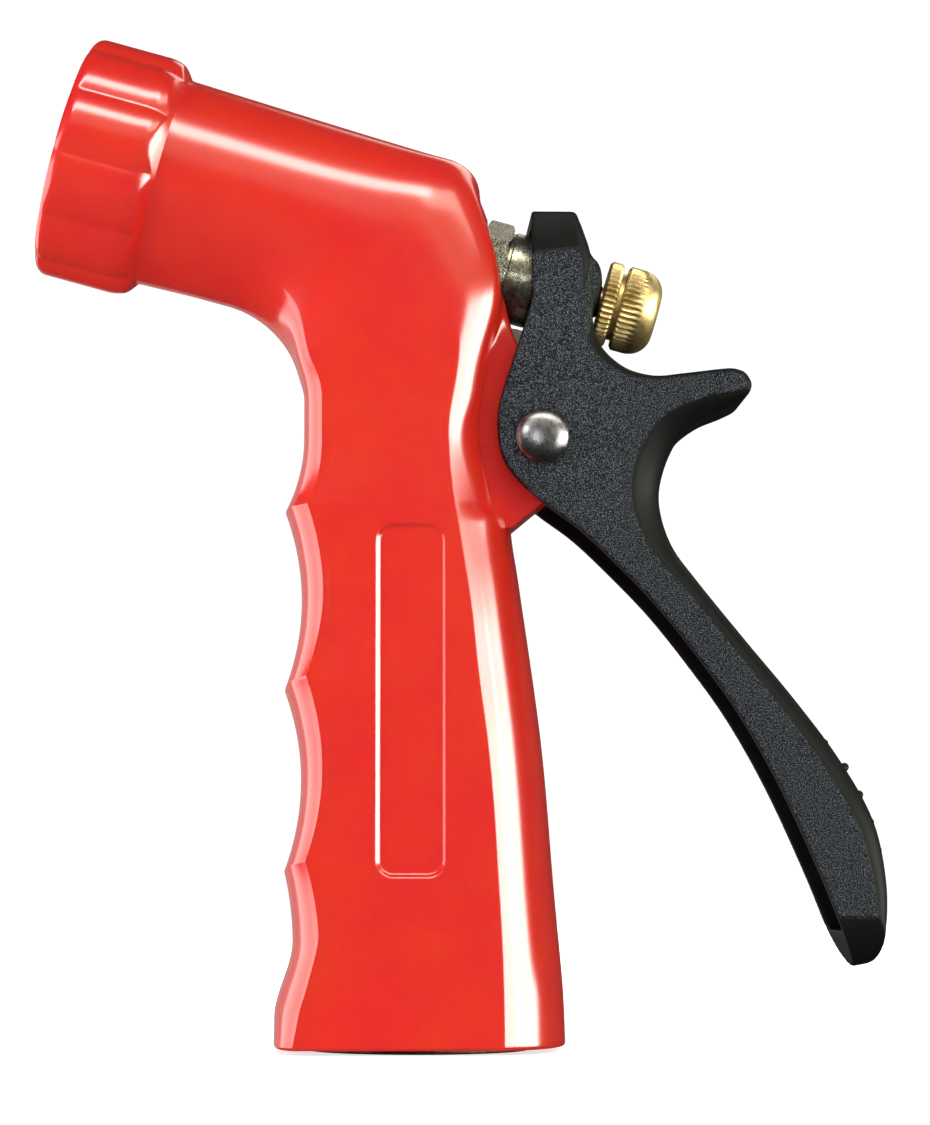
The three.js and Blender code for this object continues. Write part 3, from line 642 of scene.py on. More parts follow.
def flat_back_profile(crease, half_width, length, back_half, lead):
    """Back of a section that ends in a flat face round the packing nut."""
    t = np.linspace(0, 1, SHOULDER_STEPS + 1)
    width = length - crease
    first = (crease + 0.62 * width * math.cos(lead), half_width - 0.62 * width * math.sin(lead))
    second = (length, mix(back_half, half_width, 0.45))
    curve = bezier((crease, half_width), first, second, (length, back_half), t)
    rest = np.linspace(back_half, 0, REAR_STEPS - SHOULDER_STEPS + 1)[1:]
    return np.vstack([curve, np.stack([np.full(len(rest), length), rest], -1)])


def mirrored(x, y, z):
    """A whole ring from the near half's points."""
    near = np.stack([x, -y, z], -1)
    far = np.stack([x, y, z], -1)[-2:0:-1]
    return np.vstack([near, far])


def grip_ring(z):
    """One level of the grip; its front is a little lower than its sides where the ridges slant."""
    slant = RIDGE_SLANT * float(smooth((66 - z) / 12) * smooth((z - 4) / 12))
    x_start, half = front_x(z - slant), grip_half_width(z)
    offset = np.interp(z, BEVEL_HEIGHTS, BEVEL_DEPTHS)
    x_front = x_start + offset
    x_rear = float(REAR_CREASE(z))
    front = front_profile(offset, half)
    x_side = side_places(x_front, x_rear, z)
    share = (x_side - x_front) / (x_rear - x_front)
    dip = GROOVE_DIP * groove_share(z) * np.exp(-(x_side - x_front) / 7) * smooth(share * 12)
    y_side = half + crown(share) - dip - recess(x_side, z)
    length = float(BACK_X(z)) - x_start
    crease = x_rear - x_start
    rear = arc_profile(crease, half, length)
    if z > EAR_LOW_Z:
        shoulder = crossing(SHOULDER, np.array([x_start, z]), np.array([1.0, 0.0]))
        edge = crossing(EAR, np.array([x_start, z]), np.array([1.0, 0.0]))
        share = eased(z, EAR_LOW_Z, 3)
        knee = mix(rear[SHOULDER_STEPS, 0], shoulder, share)
        eared = ear_profile(crease, half, knee, max(edge, knee + 0.05), eased(z, 83, 8))
        eared[:SHOULDER_STEPS + 1] = mix(rear[:SHOULDER_STEPS + 1], eared[:SHOULDER_STEPS + 1], share)
        rear = eared
    x = np.concatenate([x_start + front[:, 0], x_side[1:], x_start + rear[1:, 0]])
    y = np.concatenate([front[:, 1], y_side[1:], rear[1:, 1]])
    drop = np.zeros(HALF_STEPS + 1)
    drop[:FRONT_STEPS + 1] = slant * np.linspace(1, 0, FRONT_STEPS + 1)
    return mirrored(x, y, z - drop)


def polar(profile, centre):
    """Turn and reach of a section's points from a place on its mid line.
    The turn is half a circle at the front and 0 at the back."""
    along = profile[:, 0] - centre
    return np.arctan2(profile[:, 1], along), np.hypot(profile[:, 1], along)


def reach_at(turn, profile, centre):
    own_turn, own_reach = polar(profile, centre)
    return np.interp(-turn, -own_turn, own_reach)


def fan_ring(angle):
    """One section of the elbow, on a ray from the centre of the inside bend.
    Its shape goes from the eared grip, through a flat back, to the round barrel.
    Each change starts at some degrees past the top of the grip and takes some more."""
    direction = np.array([math.cos(angle), math.sin(angle)])
    origin = ELBOW_CENTRE + ELBOW_R * direction
    degrees = math.degrees(angle)
    half = mix(ELBOW_HALF, float(barrel_radius(ELBOW_END_U)), eased(angle, 0, FAN_ANGLE))
    depth = mix(2.6, 1.5, eased(degrees, 0, 25))
    length = crossing(OUTER, origin, direction)
    heights = np.linspace(80, 125, 90)
    line = np.stack([REAR_CREASE(heights), heights], -1)
    crease = crossing(line, origin, direction)
    fading = 0.62 * length
    crease = fading if crease is None else mix(crease, fading, eased(degrees, 6, 26))
    flat_half = mix(8.6, 3.5, eased(degrees, 25, 40))
    lead = EAR_LEAD * (1 - eased(degrees, 3, 20))
    share = np.linspace(0, 1, SIDE_STEPS + 1)
    side = np.stack([mix(depth, crease, share), half + crown(share)], -1)
    start = np.vstack([front_profile(depth, half), side[1:]])
    plain = np.vstack([start, flat_back_profile(crease, half, length, flat_half, lead)[1:]])
    centre = length / 2
    turn, _ = polar(plain, centre)
    shoulder, edge = crossing(SHOULDER, origin, direction), crossing(EAR, origin, direction)
    ear_share = 1 - eased(degrees, 8, 16)
    eared = plain
    if shoulder is not None and edge is not None and ear_share > 0:
        eared = np.vstack([start, ear_profile(crease, half, min(shoulder, edge - 0.1), edge, 0.95)[1:]])
        turn = mix(turn, polar(eared, centre)[0], ear_share)
    round_share = eased(degrees, 12, 56)
    turn = mix(turn, np.linspace(math.pi, 0, HALF_STEPS + 1), round_share)
    reach = mix(reach_at(turn, plain, centre), reach_at(turn, eared, centre), ear_share)
    oval = 1 / np.hypot(np.cos(turn) / centre, np.sin(turn) / half)
    reach = mix(reach, oval, round_share)
    place = origin + np.multiply.outer(centre + reach * np.cos(turn), direction)
    return mirrored(place[:, 0], reach * np.sin(turn), place[:, 1])


def evened(rings, first, last):
    """Evens out the run from ring to ring between two of them, leaving the side-view outline as it is."""
    rounds, fade_rings = 26, 12
    rings = np.array(rings)
    number = np.arange(first, last)
    hold = smooth((number - first + 1) / fade_rings) * smooth((last - number) / fade_rings)
    hold = hold[:, None] * smooth((np.abs(rings[first:last, :, 1]) - 4) / 5)
    for _ in range(rounds):
        beside = (rings[first - 1:last - 1] + rings[first + 1:last + 1]) / 2
        rings[first:last] = mix(rings[first:last], beside, 0.5 * hold[:, :, None])
    return list(rings)


# bumper cap
CAP_FRONT_U, CAP_REAR_U, SHOULDER_U = -51.4, -40.7, -37.0
CAP_R, CAP_LOBES, LOBE_DEPTH, CAP_ROUND, MOUTH_R = 17.1, 11, 0.72, 1.7, 11.4
SHOULDER_LENGTH, SHOULDER_RISE = 3.1, 2.7


def cap_radii(u, angle):
    """Radius of the bumper cap: lobes that run out on a rounded shoulder behind them."""
    from_top = (math.pi / 2 - angle) / (2 * math.pi) * CAP_LOBES
    from_crest = 2 * (from_top % 1) - 1
    front = np.clip((u - CAP_FRONT_U) / CAP_ROUND, 0, 1)
    rounding = CAP_ROUND * (1 - math.sqrt(max(1 - (1 - front) ** 2, 0)))
    lobes = CAP_R - LOBE_DEPTH * from_crest ** 2 * (0.35 + 0.65 * front) - rounding
    run_out = np.clip((u - CAP_REAR_U) / 1.5, 0, 2)
    lobes = lobes - 0.2 * run_out ** 2
    rise = np.clip((SHOULDER_U - u) / SHOULDER_LENGTH, 0, 1)
    shoulder = BARREL_R_FRONT + SHOULDER_RISE * math.sin(math.pi / 2 * rise)
    return np.minimum(lobes, shoulder)


def cap_rings():
    """Rings of the barrel's front end and the cap, from the elbow to the front face."""
    angle = np.linspace(-math.pi / 2, math.pi / 2, HALF_STEPS + 1)
    stations = np.concatenate([
        np.linspace(-29, SHOULDER_U, 14, endpoint=False),
        SHOULDER_U - (SHOULDER_U - CAP_REAR_U + 0.1) * (1 - np.cos(np.linspace(0, math.pi / 2, 26)[:-1])),
        np.linspace(CAP_REAR_U - 0.1, CAP_FRONT_U + CAP_ROUND, 10, endpoint=False),
        CAP_FRONT_U + CAP_ROUND * (1 - np.sin(np.linspace(0, math.pi / 2, 10)))])
    rings = []
    for u in stations:
        radii = barrel_radius(u) if u > SHOULDER_U else cap_radii(u, angle)
        radii = radii * np.ones(HALF_STEPS + 1)
        place = barrel_point(np.full(HALF_STEPS + 1, u), radii * np.sin(angle))
        rings.append(mirrored(place[:, 0], radii * np.cos(angle), place[:, 1]))
    return rings


def grip_levels():
    """Heights of the grip's rings, closer together at the ridges and the panel's ends."""
    low, high = PANEL_CENTRE[1] - PANEL_HALF[1], PANEL_CENTRE[1] + PANEL_HALF[1]
    levels = [BOTTOM_Z + EDGE_R]
    while levels[-1] < ELBOW_CENTRE[1] - 0.5:
        z = levels[-1]
        fine = low - 1 < z < low + 3.2 or high - 3.2 < z < high + 1
        eared = EAR_LOW_Z - 0.6 < z < 80
        levels.append(z + (0.2 if fine else 0.3 if eared else 0.55))
    ridges = [FIRST_RIDGE_Z - k * FINGER_PITCH for k in range(GROOVES + 1)]
    levels = [z for z in levels if abs(z - EAR_LOW_Z) > 0.15]
    levels += [EAR_LOW_Z - 0.02, EAR_LOW_Z + 0.02]
    return sorted(levels + [r + 1.5 for r in ridges[1:]] + ridges[:1])


def jacket_rings():
    """Rings of the whole outside: rounded foot, grip, elbow, barrel and cap."""
    foot = grip_ring(BOTTOM_Z + EDGE_R)
    centre = foot.mean(0)
    rings = []
    for t in np.linspace(0, 1, 5)[:-1]:
        inset = EDGE_R * (1 - math.sin(t * math.pi / 2))
        away = foot - centre
        away[:, 2] = 0
        away /= np.linalg.norm(away, axis=1)[:, None]
        ring = foot - away * inset
        ring[:, 2] = BOTTOM_Z + EDGE_R * (1 - math.cos(t * math.pi / 2))
        rings.append(ring)
    rings += [grip_ring(z) for z in grip_levels()]
    fan_start = len(rings)
    rings += [fan_ring(a) for a in np.linspace(0, FAN_ANGLE, 84)]
    fan_end = len(rings)
    return evened(rings + cap_rings(), fan_start - 4, fan_end + 3)


def core_rings(inset, front_u, bottom_z):
    """The smooth room inside the jacket for the metal body."""
    count = 64
    angle = np.arange(count) * 2 * math.pi / count
    sections = []
    for u in (front_u, -36, -29):
        r = float(barrel_radius(u))
        sections.append((barrel_point(u, -r), barrel_point(u, r), r, 2.0))
    for turn in np.linspace(FAN_ANGLE, 0, 12):
        direction = np.array([math.cos(turn), math.sin(turn)])
        origin = ELBOW_CENTRE + ELBOW_R * direction
        shoulder = crossing(SHOULDER, origin, direction)
        reach = crossing(OUTER, origin, direction)
        reach = reach if shoulder is None else min(reach, shoulder + 0.4)
        outer = origin + direction * reach
        share = 1 - turn / FAN_ANGLE
        sections.append((origin, outer, mix(14.2, 13.0, share), mix(2.0, 2.5, share)))
    for z in (70, 50, 30, bottom_z):
        start = np.array([max(front_x(z), VALLEY_X), z])
        outer = np.array([float(BACK_X(z)) - 0.4, z])
        sections.append((start, outer, grip_half_width(z), 2.6))
    rings = []
    for inner, outer, half, power in sections:
        middle, reach = (inner + outer) / 2, outer - inner
        length = np.linalg.norm(reach)
        c, s = np.cos(angle), np.sin(angle)
        along = np.sign(c) * np.abs(c) ** (2 / power) * (length / 2 - inset)
        side = np.sign(s) * np.abs(s) ** (2 / power) * (half - inset)
        place = middle + np.multiply.outer(along, reach / length)
        rings.append(np.stack([place[:, 0], side, place[:, 1]], -1))
    return rings


def make_jacket():
    """Red rubber jacket, hollow for the casting and open at the mouth, the gland, the lug and the inlet."""
    jacket = solid("rubber_jacket", *closed_loft(jacket_rings()))
    _, (collar_r, _, collar_top) = corners("inlet_collar")
    collar_r = collar_r + CLEARANCE
    chamber_u = barrel_span("valve_body")[0] - CLEARANCE
    carve(jacket, solid("core", *closed_loft(core_rings(WALL, chamber_u, collar_top))))
    lip = rounded([
        (CAP_FRONT_U - 1, 0), (CAP_FRONT_U - 1, MOUTH_R + 1.6), (CAP_FRONT_U - 0.1, MOUTH_R + 1.1, 0.3),
        (CAP_FRONT_U + 0.9, MOUTH_R, 0.6), (chamber_u + 1, MOUTH_R), (chamber_u + 1, 0)], 0.0)
    carve(jacket, turned_solid("mouth", lip, 176))
    carve(jacket, turned_solid("gland", bore(4, 24, RUBBER_GLAND_R), 120))
    lug = rounded([
        (4, 76), (4, 75), (11, 75, 2), (17.5, 77.5, 2), (23, 81, 2), (23.3, 86, 3), (20, 90.8, 3),
        (16.6, 95.8, 3), (15.6, 99.8, 1), (13.9, 100.4, 1), (4, 100.4), (4, 99)], 0)
    carve(jacket, plate("lug", lug, RUBBER_LUG_HALF))
    socket = rounded([
        (-1, 0), (-1, collar_r + 0.8), (BOTTOM_Z, collar_r + 0.5, 0.2), (BOTTOM_Z + 0.6, collar_r, 0.2),
        (collar_top + CLEARANCE, collar_r), (collar_top + CLEARANCE, 0)], 0.0)
    carve(jacket, turned_solid("socket", socket, 160, lay=upright))
    carve(jacket, turned_solid("pin", bore(-12, 12, RUBBER_PIN_R), 48, lay=on_pivot))
    return piece(jacket, "body", "red_rubber", ["rubber_cover"])


make_jacket()


def make_valve_body():
    """Casting inside the jacket: tube for the stem, handle for the water, pivot lug and packing boss."""
    front_u, _, _ = barrel_span("valve_body")
    (_, _, foot), _ = corners("valve_body")
    made = solid("valve_casting", *closed_loft(core_rings(WALL + CLEARANCE, front_u, max(foot, 16.6))))
    lug = rounded([
        (2, 76), (2, 75.5), (11, 75.5, 2), (17.2, 77.8, 2), (22.6, 81.2, 2), (22.9, 86, 3), (19.7, 90.4, 3),
        (16.2, 95.5, 3), (15.2, 99.4, 1), (13.6, 100, 1), (2, 100), (2, 99)], 0)
    carve(made, plate("lug", lug, CASTING_LUG_HALF), "UNION")
    boss = rounded([(-4, 0), (-4, BOSS_R), (8.3, BOSS_R, 0.5), (8.3, 0)], 0)
    carve(made, turned_solid("boss", boss, 96), "UNION")
    carve(made, turned_solid("pin", bore(-30, 30, CASTING_PIN_R), 48, lay=on_pivot))
    carve(made, turned_solid("gland", bore(1, 30, CASTING_GLAND_R), 64))
    carve(made, turned_solid("chamber", bore(-60, 1.5, CHAMBER_R), 96))
    carve(made, turned_solid("waterway", bore(-5, AXIS_Z, WATERWAY_R), 64, lay=upright))
    return piece(made, "body", "cast_body", ["valve_body"])


make_valve_body()

# ---------------------------------------------------------------- lever

LEVER_HALF = 9.5
FLANGE, CHANNEL_ROUND = 2.4, 1.1
_, (_, _, HEAD_TOP_Z) = corners("lever")
HEAD_FRONT_X = 15.6
PAD_FRONT_U, PAD_U = 20.5, 26.3
PAD_CROWN_R = 8.0
PAD_HALF, PAD_REACH = 6.3, 5.0
TIP_Z, TIP_ROUND = 11.4, 8.5
HEAD_TAPER_Z, HEAD_TAPER_R = HEAD_TOP_Z - 6.2, 18.0
CRISP = math.radians(20)

LEVER_FRONT = [
    (15.5, 103.2), (13.3, 96), (11.2, 89.3), (10.9, 84.9), (11.7, 81.2), (13.9, 78.1), (17.2, 75.1),
    (22.2, 71.4), (27.7, 66.2), (33.2, 60.4), (38.6, 53.6), (44, 46), (49.4, 36.4), (54.8, 24.6),
    (58.6, 15.2), (60.4, TIP_Z)]
# back edge upwards, with the radius that rounds it into the sides
LEVER_BACK = [
    (60.4, TIP_Z, 0.8), (63.0, 12.5, 1.2), (64.1, 16.5, 2.2), (64.3, 23.3, 3.2), (62.7, 31.5, 4.0),
    (58.2, 39.8, 4.2), (52.1, 48, 3.9), (45.2, 56.3, 3.5), (38.5, 64.6, 3.6), (35.1, 69.6, 4.8),
    (33.6, 75, 6.4), (34, 79.4, 6.8), (36, 84.1, 5.8), (39.4, 87.1, 4.0), (43.3, 88.9, 2.6),
    (45.5, 90.2, 1.6), (46.1, 91.8, 1.2), (45.3, 93.4, 1.0)]
LEVER_TOP = [
    (45.3, 93.4, 0.8), (43.6, 93.9, 0.8), (41.5, 93.8, 0.8), (36.5, 93.2, 0.8), (32.5, 92.9, 1.0),
    (28.5, 94.1, 1.6), (25.3, 97.1, 2.2), (24.2, 100.5, 2.3), (24.1, 105, 2.3), (23.9, 109.8, 2.3),
    (22.9, 113.2, 2.3), (21.8, 116, 2.3), (20.6, 119, 2.3)]
CHANNEL_BACK = [
    (55, 17), (60.3, 17), (61.2, 24), (59.6, 30.5), (55.5, 38), (49.8, 45.6), (43, 53.8),
    (36.2, 62.2), (31.5, 68.5), (29.9, 75), (29.6, 82), (26.8, 88.5), (22.6, 94.5), (21.2, 99.5),
    (21.2, 113.8)]
# middles of the ribs across the back of the lever's lower end
RIBS = [
    (56.4, 42.2), (59.2, 38.9), (61.2, 35.1), (62.65, 31.3), (63.65, 27.5), (64.15, 23.5), (64.25, 19.6)]
RIB_R, RIB_HALF, RIB_SUNK = 0.62, 4.2, 0.15
# slot for the stem, and room for the knob behind the pad
SLOT_LOW, SLOT_HIGH, SLOT_R, SLOT_FRONT_U = -0.3, 2.35, 2.9, 14
KNOB_ROOM_R = 7.05


def chain_field(points, x, z, far):
    """Signed distance from a side-view chain, negative on its inside, and the third value at its nearest
    point. far closes the chain into a region, with points well away from the piece."""
    chain = spline(points, 6)
    loop = np.vstack([chain[:, :2], far])
    values = chain[:, 2] if chain.shape[1] > 2 else np.zeros(len(chain))
    values = np.concatenate([values, np.full(len(far), values[-1])])
    p = np.stack([x, z], -1)
    best, value = np.full(len(p), 1e9), np.zeros(len(p))
    inside = np.zeros(len(p), bool)
    for k in range(len(loop)):
        a, b = loop[k], loop[(k + 1) % len(loop)]
        edge = b - a
        rel = p - a
        share = np.clip(rel @ edge / (edge @ edge + 1e-12), 0, 1)
        distance = np.hypot(rel[:, 0] - share * edge[0], rel[:, 1] - share * edge[1])
        if k < len(chain) - 1:
            nearer = distance < best
            best = np.where(nearer, distance, best)
            value = np.where(nearer, mix(values[k], values[k + 1], share), value)
        crosses = (a[1] > z) != (b[1] > z)
        with np.errstate(divide="ignore", invalid="ignore"):
            inside ^= crosses & (x < a[0] + edge[0] * (z - a[1]) / edge[1])
    return np.where(inside, -best, best), value


def soft_max(a, b, width):
    overlap = np.maximum(width - np.abs(a - b), 0)
    return np.maximum(a, b) + overlap * overlap / (4 * width)


def soft_min(a, b, width):
    return -soft_max(-a, -b, width)


def round_over(edge, side, radius, lead=0.0):
    """Field of two faces that meet in a rounded edge of the given radius.
    With a lead the rounding leaves the side at that angle, along a crisp line."""
    tilted = radius * math.cos(lead)
    a, b = np.maximum(edge + radius, 0), np.maximum(side + tilted, 0)
    return np.minimum(np.maximum(edge + radius, side + tilted), 0) + np.hypot(a, b) - radius


def lever_outline_fields(x, z):
    """The side-view parts of the lever's field, which don't change across its width."""
    back = chain_field(LEVER_BACK, x, z, [(45.3, 300), (-300, 300), (-300, -300), (60.4, -300)])
    upper = chain_field(LEVER_TOP, x, z, [(-300, 300), (-300, -300), (400, -300), (400, 93.4)])
    front = chain_field(
        [(HEAD_FRONT_X, HEAD_TOP_Z + 3), (HEAD_FRONT_X, 110), (HEAD_FRONT_X, 106)] + LEVER_FRONT, x, z,
        [(60.4, -300), (400, -300), (400, 300), (HEAD_FRONT_X, 300)])
    channel = chain_field(CHANNEL_BACK, x, z, [(5, 113.8), (5, 70), (40, 30)])
    return back, upper, front, channel


def lever_field(x, y, z, flat=None):
    """Below zero inside the lever."""
    (back, back_r), (upper, upper_r), (front, _), (channel, _) = flat or lever_outline_fields(x, z)
    side = np.abs(y) - LEVER_HALF
    body = soft_max(round_over(back, side, back_r, CRISP), round_over(upper, side, upper_r, CRISP), 0.5)
    body = soft_max(body, z - HEAD_TOP_Z, 0.5)
    body = np.maximum(soft_max(body, round_over(front, side, 0.45), 0.3), side)
    taper = np.hypot(np.maximum(np.abs(y) - LEVER_HALF + HEAD_TAPER_R, 0), np.maximum(z - HEAD_TAPER_Z, 0))
    body = soft_max(body, taper - HEAD_TAPER_R, 0.3 * (z > HEAD_TAPER_Z) + 1e-6)
    tip = np.sqrt((y / LEVER_HALF) ** 2 + (np.maximum(TIP_Z + TIP_ROUND - z, 0) / TIP_ROUND) ** 2) - 1
    body = np.where(z < TIP_Z + TIP_ROUND, np.maximum(body, LEVER_HALF * tip), body)
    hollow = round_over(channel, np.abs(y) - (LEVER_HALF - FLANGE), CHANNEL_ROUND)
    body = soft_max(body, -hollow, 0.45)
    u, n = barrel_coordinates(x, z)
    pad = np.hypot(u - (PAD_U - PAD_CROWN_R), n) - PAD_CROWN_R
    block = np.maximum(np.maximum(np.abs(y) - PAD_HALF, np.abs(n) - PAD_REACH), PAD_FRONT_U - u)
    body = soft_min(body, soft_max(pad, block, 1.6), 0.8)
    slot_n = n - np.clip(n, SLOT_LOW, SLOT_HIGH)
    slot = np.maximum(np.hypot(y, slot_n) - SLOT_R, SLOT_FRONT_U - u)
    body = soft_max(body, -slot, 0.35)
    knob = np.maximum(np.hypot(y, n) - KNOB_ROOM_R, PAD_U + 0.05 - u)
    body = soft_max(body, -knob, 0.3)
    across = np.maximum(np.abs(y) - RIB_HALF, 0)
    for rib_x, rib_z in RIBS:
        rib = np.sqrt((x - rib_x + RIB_SUNK) ** 2 + (z - rib_z) ** 2 + across ** 2) - RIB_R
        body = soft_min(body, rib, 0.3)
    return body


def surface_net(field, low, high, step, outline):
    """Quads on the zero level of a field over a box. outline(x, z) gives what doesn't change along Y."""
    x, y, z = (np.arange(a, b + step, step) for a, b in zip(low, high))
    side_x, side_z = (g.ravel() for g in np.meshgrid(x, z, indexing="ij"))
    flat = outline(side_x, side_z)
    values = np.empty((len(x), len(y), len(z)))
    for k, level in enumerate(y):
        values[:, k, :] = field(side_x, np.full(len(side_x), level), side_z, flat).reshape(len(x), len(z))
    inside = values < 0
    shape = tuple(n - 1 for n in values.shape)
    corners = [(i, j, k) for i in (0, 1) for j in (0, 1) for k in (0, 1)]

    def part(grid, corner):
        return grid[tuple(slice(c, c + n) for c, n in zip(corner, shape))]

    count = sum(part(inside, c).astype(int) for c in corners)
    mixed = (count > 0) & (count < 8)
    cells = np.argwhere(mixed)
    number = np.full(shape, -1)
    number[mixed] = np.arange(len(cells))
    total, weight = np.zeros((len(cells), 3)), np.zeros(len(cells))
    for a in corners:
        for axis in range(3):
            if a[axis]:
                continue
            b = tuple(c + (i == axis) for i, c in enumerate(a))
            va = values[tuple((cells + a).T)]
            vb = values[tuple((cells + b).T)]
            cut = (va < 0) != (vb < 0)
            share = np.where(cut, va / np.where(cut, va - vb, 1), 0)
            spot = np.array(a, float) + share[:, None] * (np.arange(3) == axis)
            total += spot * cut[:, None]
            weight += cut
    origin = np.array([x[0], y[0], z[0]])
    points = origin + (cells + total / weight[:, None]) * step
    faces = []
    for axis in range(3):
        others = [i for i in range(3) if i != axis]
        low_side = [slice(None)] * 3
        high_side = [slice(None)] * 3
        low_side[axis], high_side[axis] = slice(0, -1), slice(1, None)
        change = inside[tuple(low_side)] != inside[tuple(high_side)]
        edges = np.argwhere(change)
        edges = edges[(edges[:, others[0]] > 0) & (edges[:, others[1]] > 0)]
        offsets = []
        for da, db in ((0, 0), (1, 0), (1, 1), (0, 1)):
            shift = np.zeros(3, int)
            shift[others[0]], shift[others[1]] = da, db
            offsets.append(number[tuple((edges - shift).T)])
        faces += np.stack(offsets, -1).tolist()
    return points, faces


def settle(points, field):
    """Moves points onto the zero level of a field."""
    rounds, nudge, longest = 3, 0.02, 0.3
    for _ in range(rounds):
        value = field(*points.T)
        slope = np.stack([
            (field(*(points + nudge * axis).T) - field(*(points - nudge * axis).T)) / (2 * nudge)
            for axis in np.eye(3)], -1)
        steepness = np.maximum((slope ** 2).sum(-1), 0.25)
        points = points - np.clip(value / steepness, -longest, longest)[:, None] * slope
    return points


def make_lever():
    """Squeeze lever, with the attribute "grain" set where its black coat has its grain and its painted glints."""
    low, high = corners("lever")
    step = 0.34
    points, faces = surface_net(lever_field, low - 1.2, high + 1.6, step, lever_outline_fields)
    points = settle(points, lever_field)
    made = solid("squeeze_lever", points, faces)
    x, y, z = points.T
    (back, back_r), (upper, upper_r), _, _ = lever_outline_fields(x, z)
    # distance in from the edges of the flat side
    clear = np.minimum(-back - back_r * (1 - math.sin(CRISP)), -upper - upper_r * (1 - math.sin(CRISP)))
    clear = np.minimum(clear, 0.4 * (HEAD_TAPER_Z + 0.12 * (x - HEAD_FRONT_X) - z))
    u, _ = barrel_coordinates(x, z)
    on_side = smooth((np.abs(y) - LEVER_HALF + 0.3) / 0.25) * smooth((clear + 0.2) / 0.4)
    on_pad = (u > 23.6) & (u < PAD_U - 0.3) & (np.abs(y) > PAD_HALF - 0.15)
    grain = np.where(on_pad, 1.0, on_side)
    # the attribute "grain" also masks where the black coat's painted glints go
    attribute = made.data.attributes.new("grain", "FLOAT", "POINT")
    attribute.data.foreach_set("value", grain.astype(np.float32))
    return piece(made, "lever", "black_coat", ["lever"], sharp=50)


make_lever()


def make_rivet():
    """Pivot rivet: domed near head, shank and flatter far end."""
    (low_x, near, _), (high_x, far, _) = corners("pivot_rivet")
    head_r = (high_x - low_x) / 2
    face = LEVER_HALF + 0.3
    shank_r, dome_depth = 2.4, 1.55
    dome = [(near + (1 - math.cos(t)) * dome_depth, head_r * math.sin(t) ** 0.9)
            for t in np.linspace(0.03, 1.45, 22)]
    tail = [(far - (1 - math.cos(t)), (head_r - 0.45) * math.sin(t)) for t in np.linspace(1.5, 0.03, 16)]
    profile = dome + [(-face - 0.12, head_r), (-face, head_r - 0.1), (-face, shank_r)]
    profile += [(face, shank_r), (face, head_r - 0.55)] + tail
    made = turned_solid("rivet", profile, 72, lay=on_pivot)
    return piece(made, "lever", "rivet_steel", ["pivot_rivet"], sharp=50)


rivet = make_rivet()

# ---------------------------------------------------------------- turned metal

HEX_FLATS = 12.7
STEM_R = 2.38


def make_packing_nut():
    """Gland nut: threaded end in the casting, six flats with a chamfer, and a round nose."""
    start, end, _ = barrel_span("packing_nut")
    hex_front, hex_rear, nose_r, bore_r = start + 2.8, 12.4, HEX_FLATS / 2, 2.75
    thread_r, nose_round = 5.2, 0.9

    def radius_at(u, r, angles):
        if r < nose_r + 0.2:
            return np.full(len(angles), r)
        turn = (angles + math.pi / 6) % (math.pi / 3) - math.pi / 6
        return np.minimum(nose_r / np.cos(turn), r)

    corner_r = HEX_FLATS / math.sqrt(3) + 0.02
    profile = [(start, bore_r), (start, thread_r), (hex_front, thread_r)]
    profile += [(hex_front, nose_r + 0.25), (hex_front + 0.3, corner_r)]
    profile += [(u, corner_r) for u in np.linspace(hex_front + 0.6, hex_rear - 0.5, 8)]
    profile += [(u, mix(corner_r, nose_r + 0.22, t ** 1.3)) for t, u in
                zip(np.linspace(0, 1, 8), np.linspace(hex_rear - 0.45, hex_rear, 8))]
    profile += [(hex_rear + 0.02, nose_r - 0.25), (hex_rear + 0.35, nose_r - 0.22)]
    profile += [(hex_rear + 0.55, nose_r)]
    profile += [(u, nose_r) for u in np.linspace(hex_rear + 0.8, end - nose_round, 5)]
    profile += [(end - nose_round * (1 - math.sin(t)), nose_r - nose_round * (1 - math.cos(t)))
                for t in np.linspace(0.2, math.pi / 2, 7)]
    profile += [(end, bore_r + 0.5), (end - 0.4, bore_r)]
    made = turned_solid("gland_nut", profile, 192, radius_at, ring=True)
    return piece(made, "body", "zinc_plate", ["packing_nut"], sharp=28)


gland_nut = make_packing_nut()

TEETH, TOOTH_DEPTH = 46, 0.34


def knurl(outer_r, fades):
    """Radius function for straight knurling; fades(u) is 1 where the teeth are full."""
    def radius_at(u, r, angles):
        phase = (angles * TEETH / (2 * math.pi)) % 1
        tooth = np.abs(2 * phase - 1) ** 1.25
        share = fades(u) if r > outer_r - 1.2 else 0.0
        return r - TOOTH_DEPTH * share * tooth
    return radius_at


def make_adjusting_nut():
    """Knurled ring with a hub behind it."""
    start, end, knob_r = barrel_span("adjusting_nut")
    ring_end = start + 2.1
    hub_r, bore_r = 4.8, STEM_R + 0.25
    profile = rounded([
        (start, bore_r), (start, knob_r - 0.45, 0.1), (start + 0.35, knob_r, 0.15),
        (ring_end - 0.35, knob_r, 0.15), (ring_end, knob_r - 0.45, 0.1), (ring_end, hub_r, 0.05),
        (end, hub_r, 0.05), (end, bore_r)], 0.1, 4)
    dense = []
    for a, b in zip(profile, profile[1:]):
        pieces = max(int(abs(b[0] - a[0]) / 0.3), 1)
        dense += [a + (b - a) * k / pieces for k in range(pieces)]
    dense.append(profile[-1])
    teeth = knurl(knob_r, lambda u: 1.0)
    made = turned_solid("knurled_ring", dense, TEETH * 8, teeth, ring=True)
    return piece(made, "adjusting_nut", "knob_brass", ["adjusting_nut"], sharp=60)


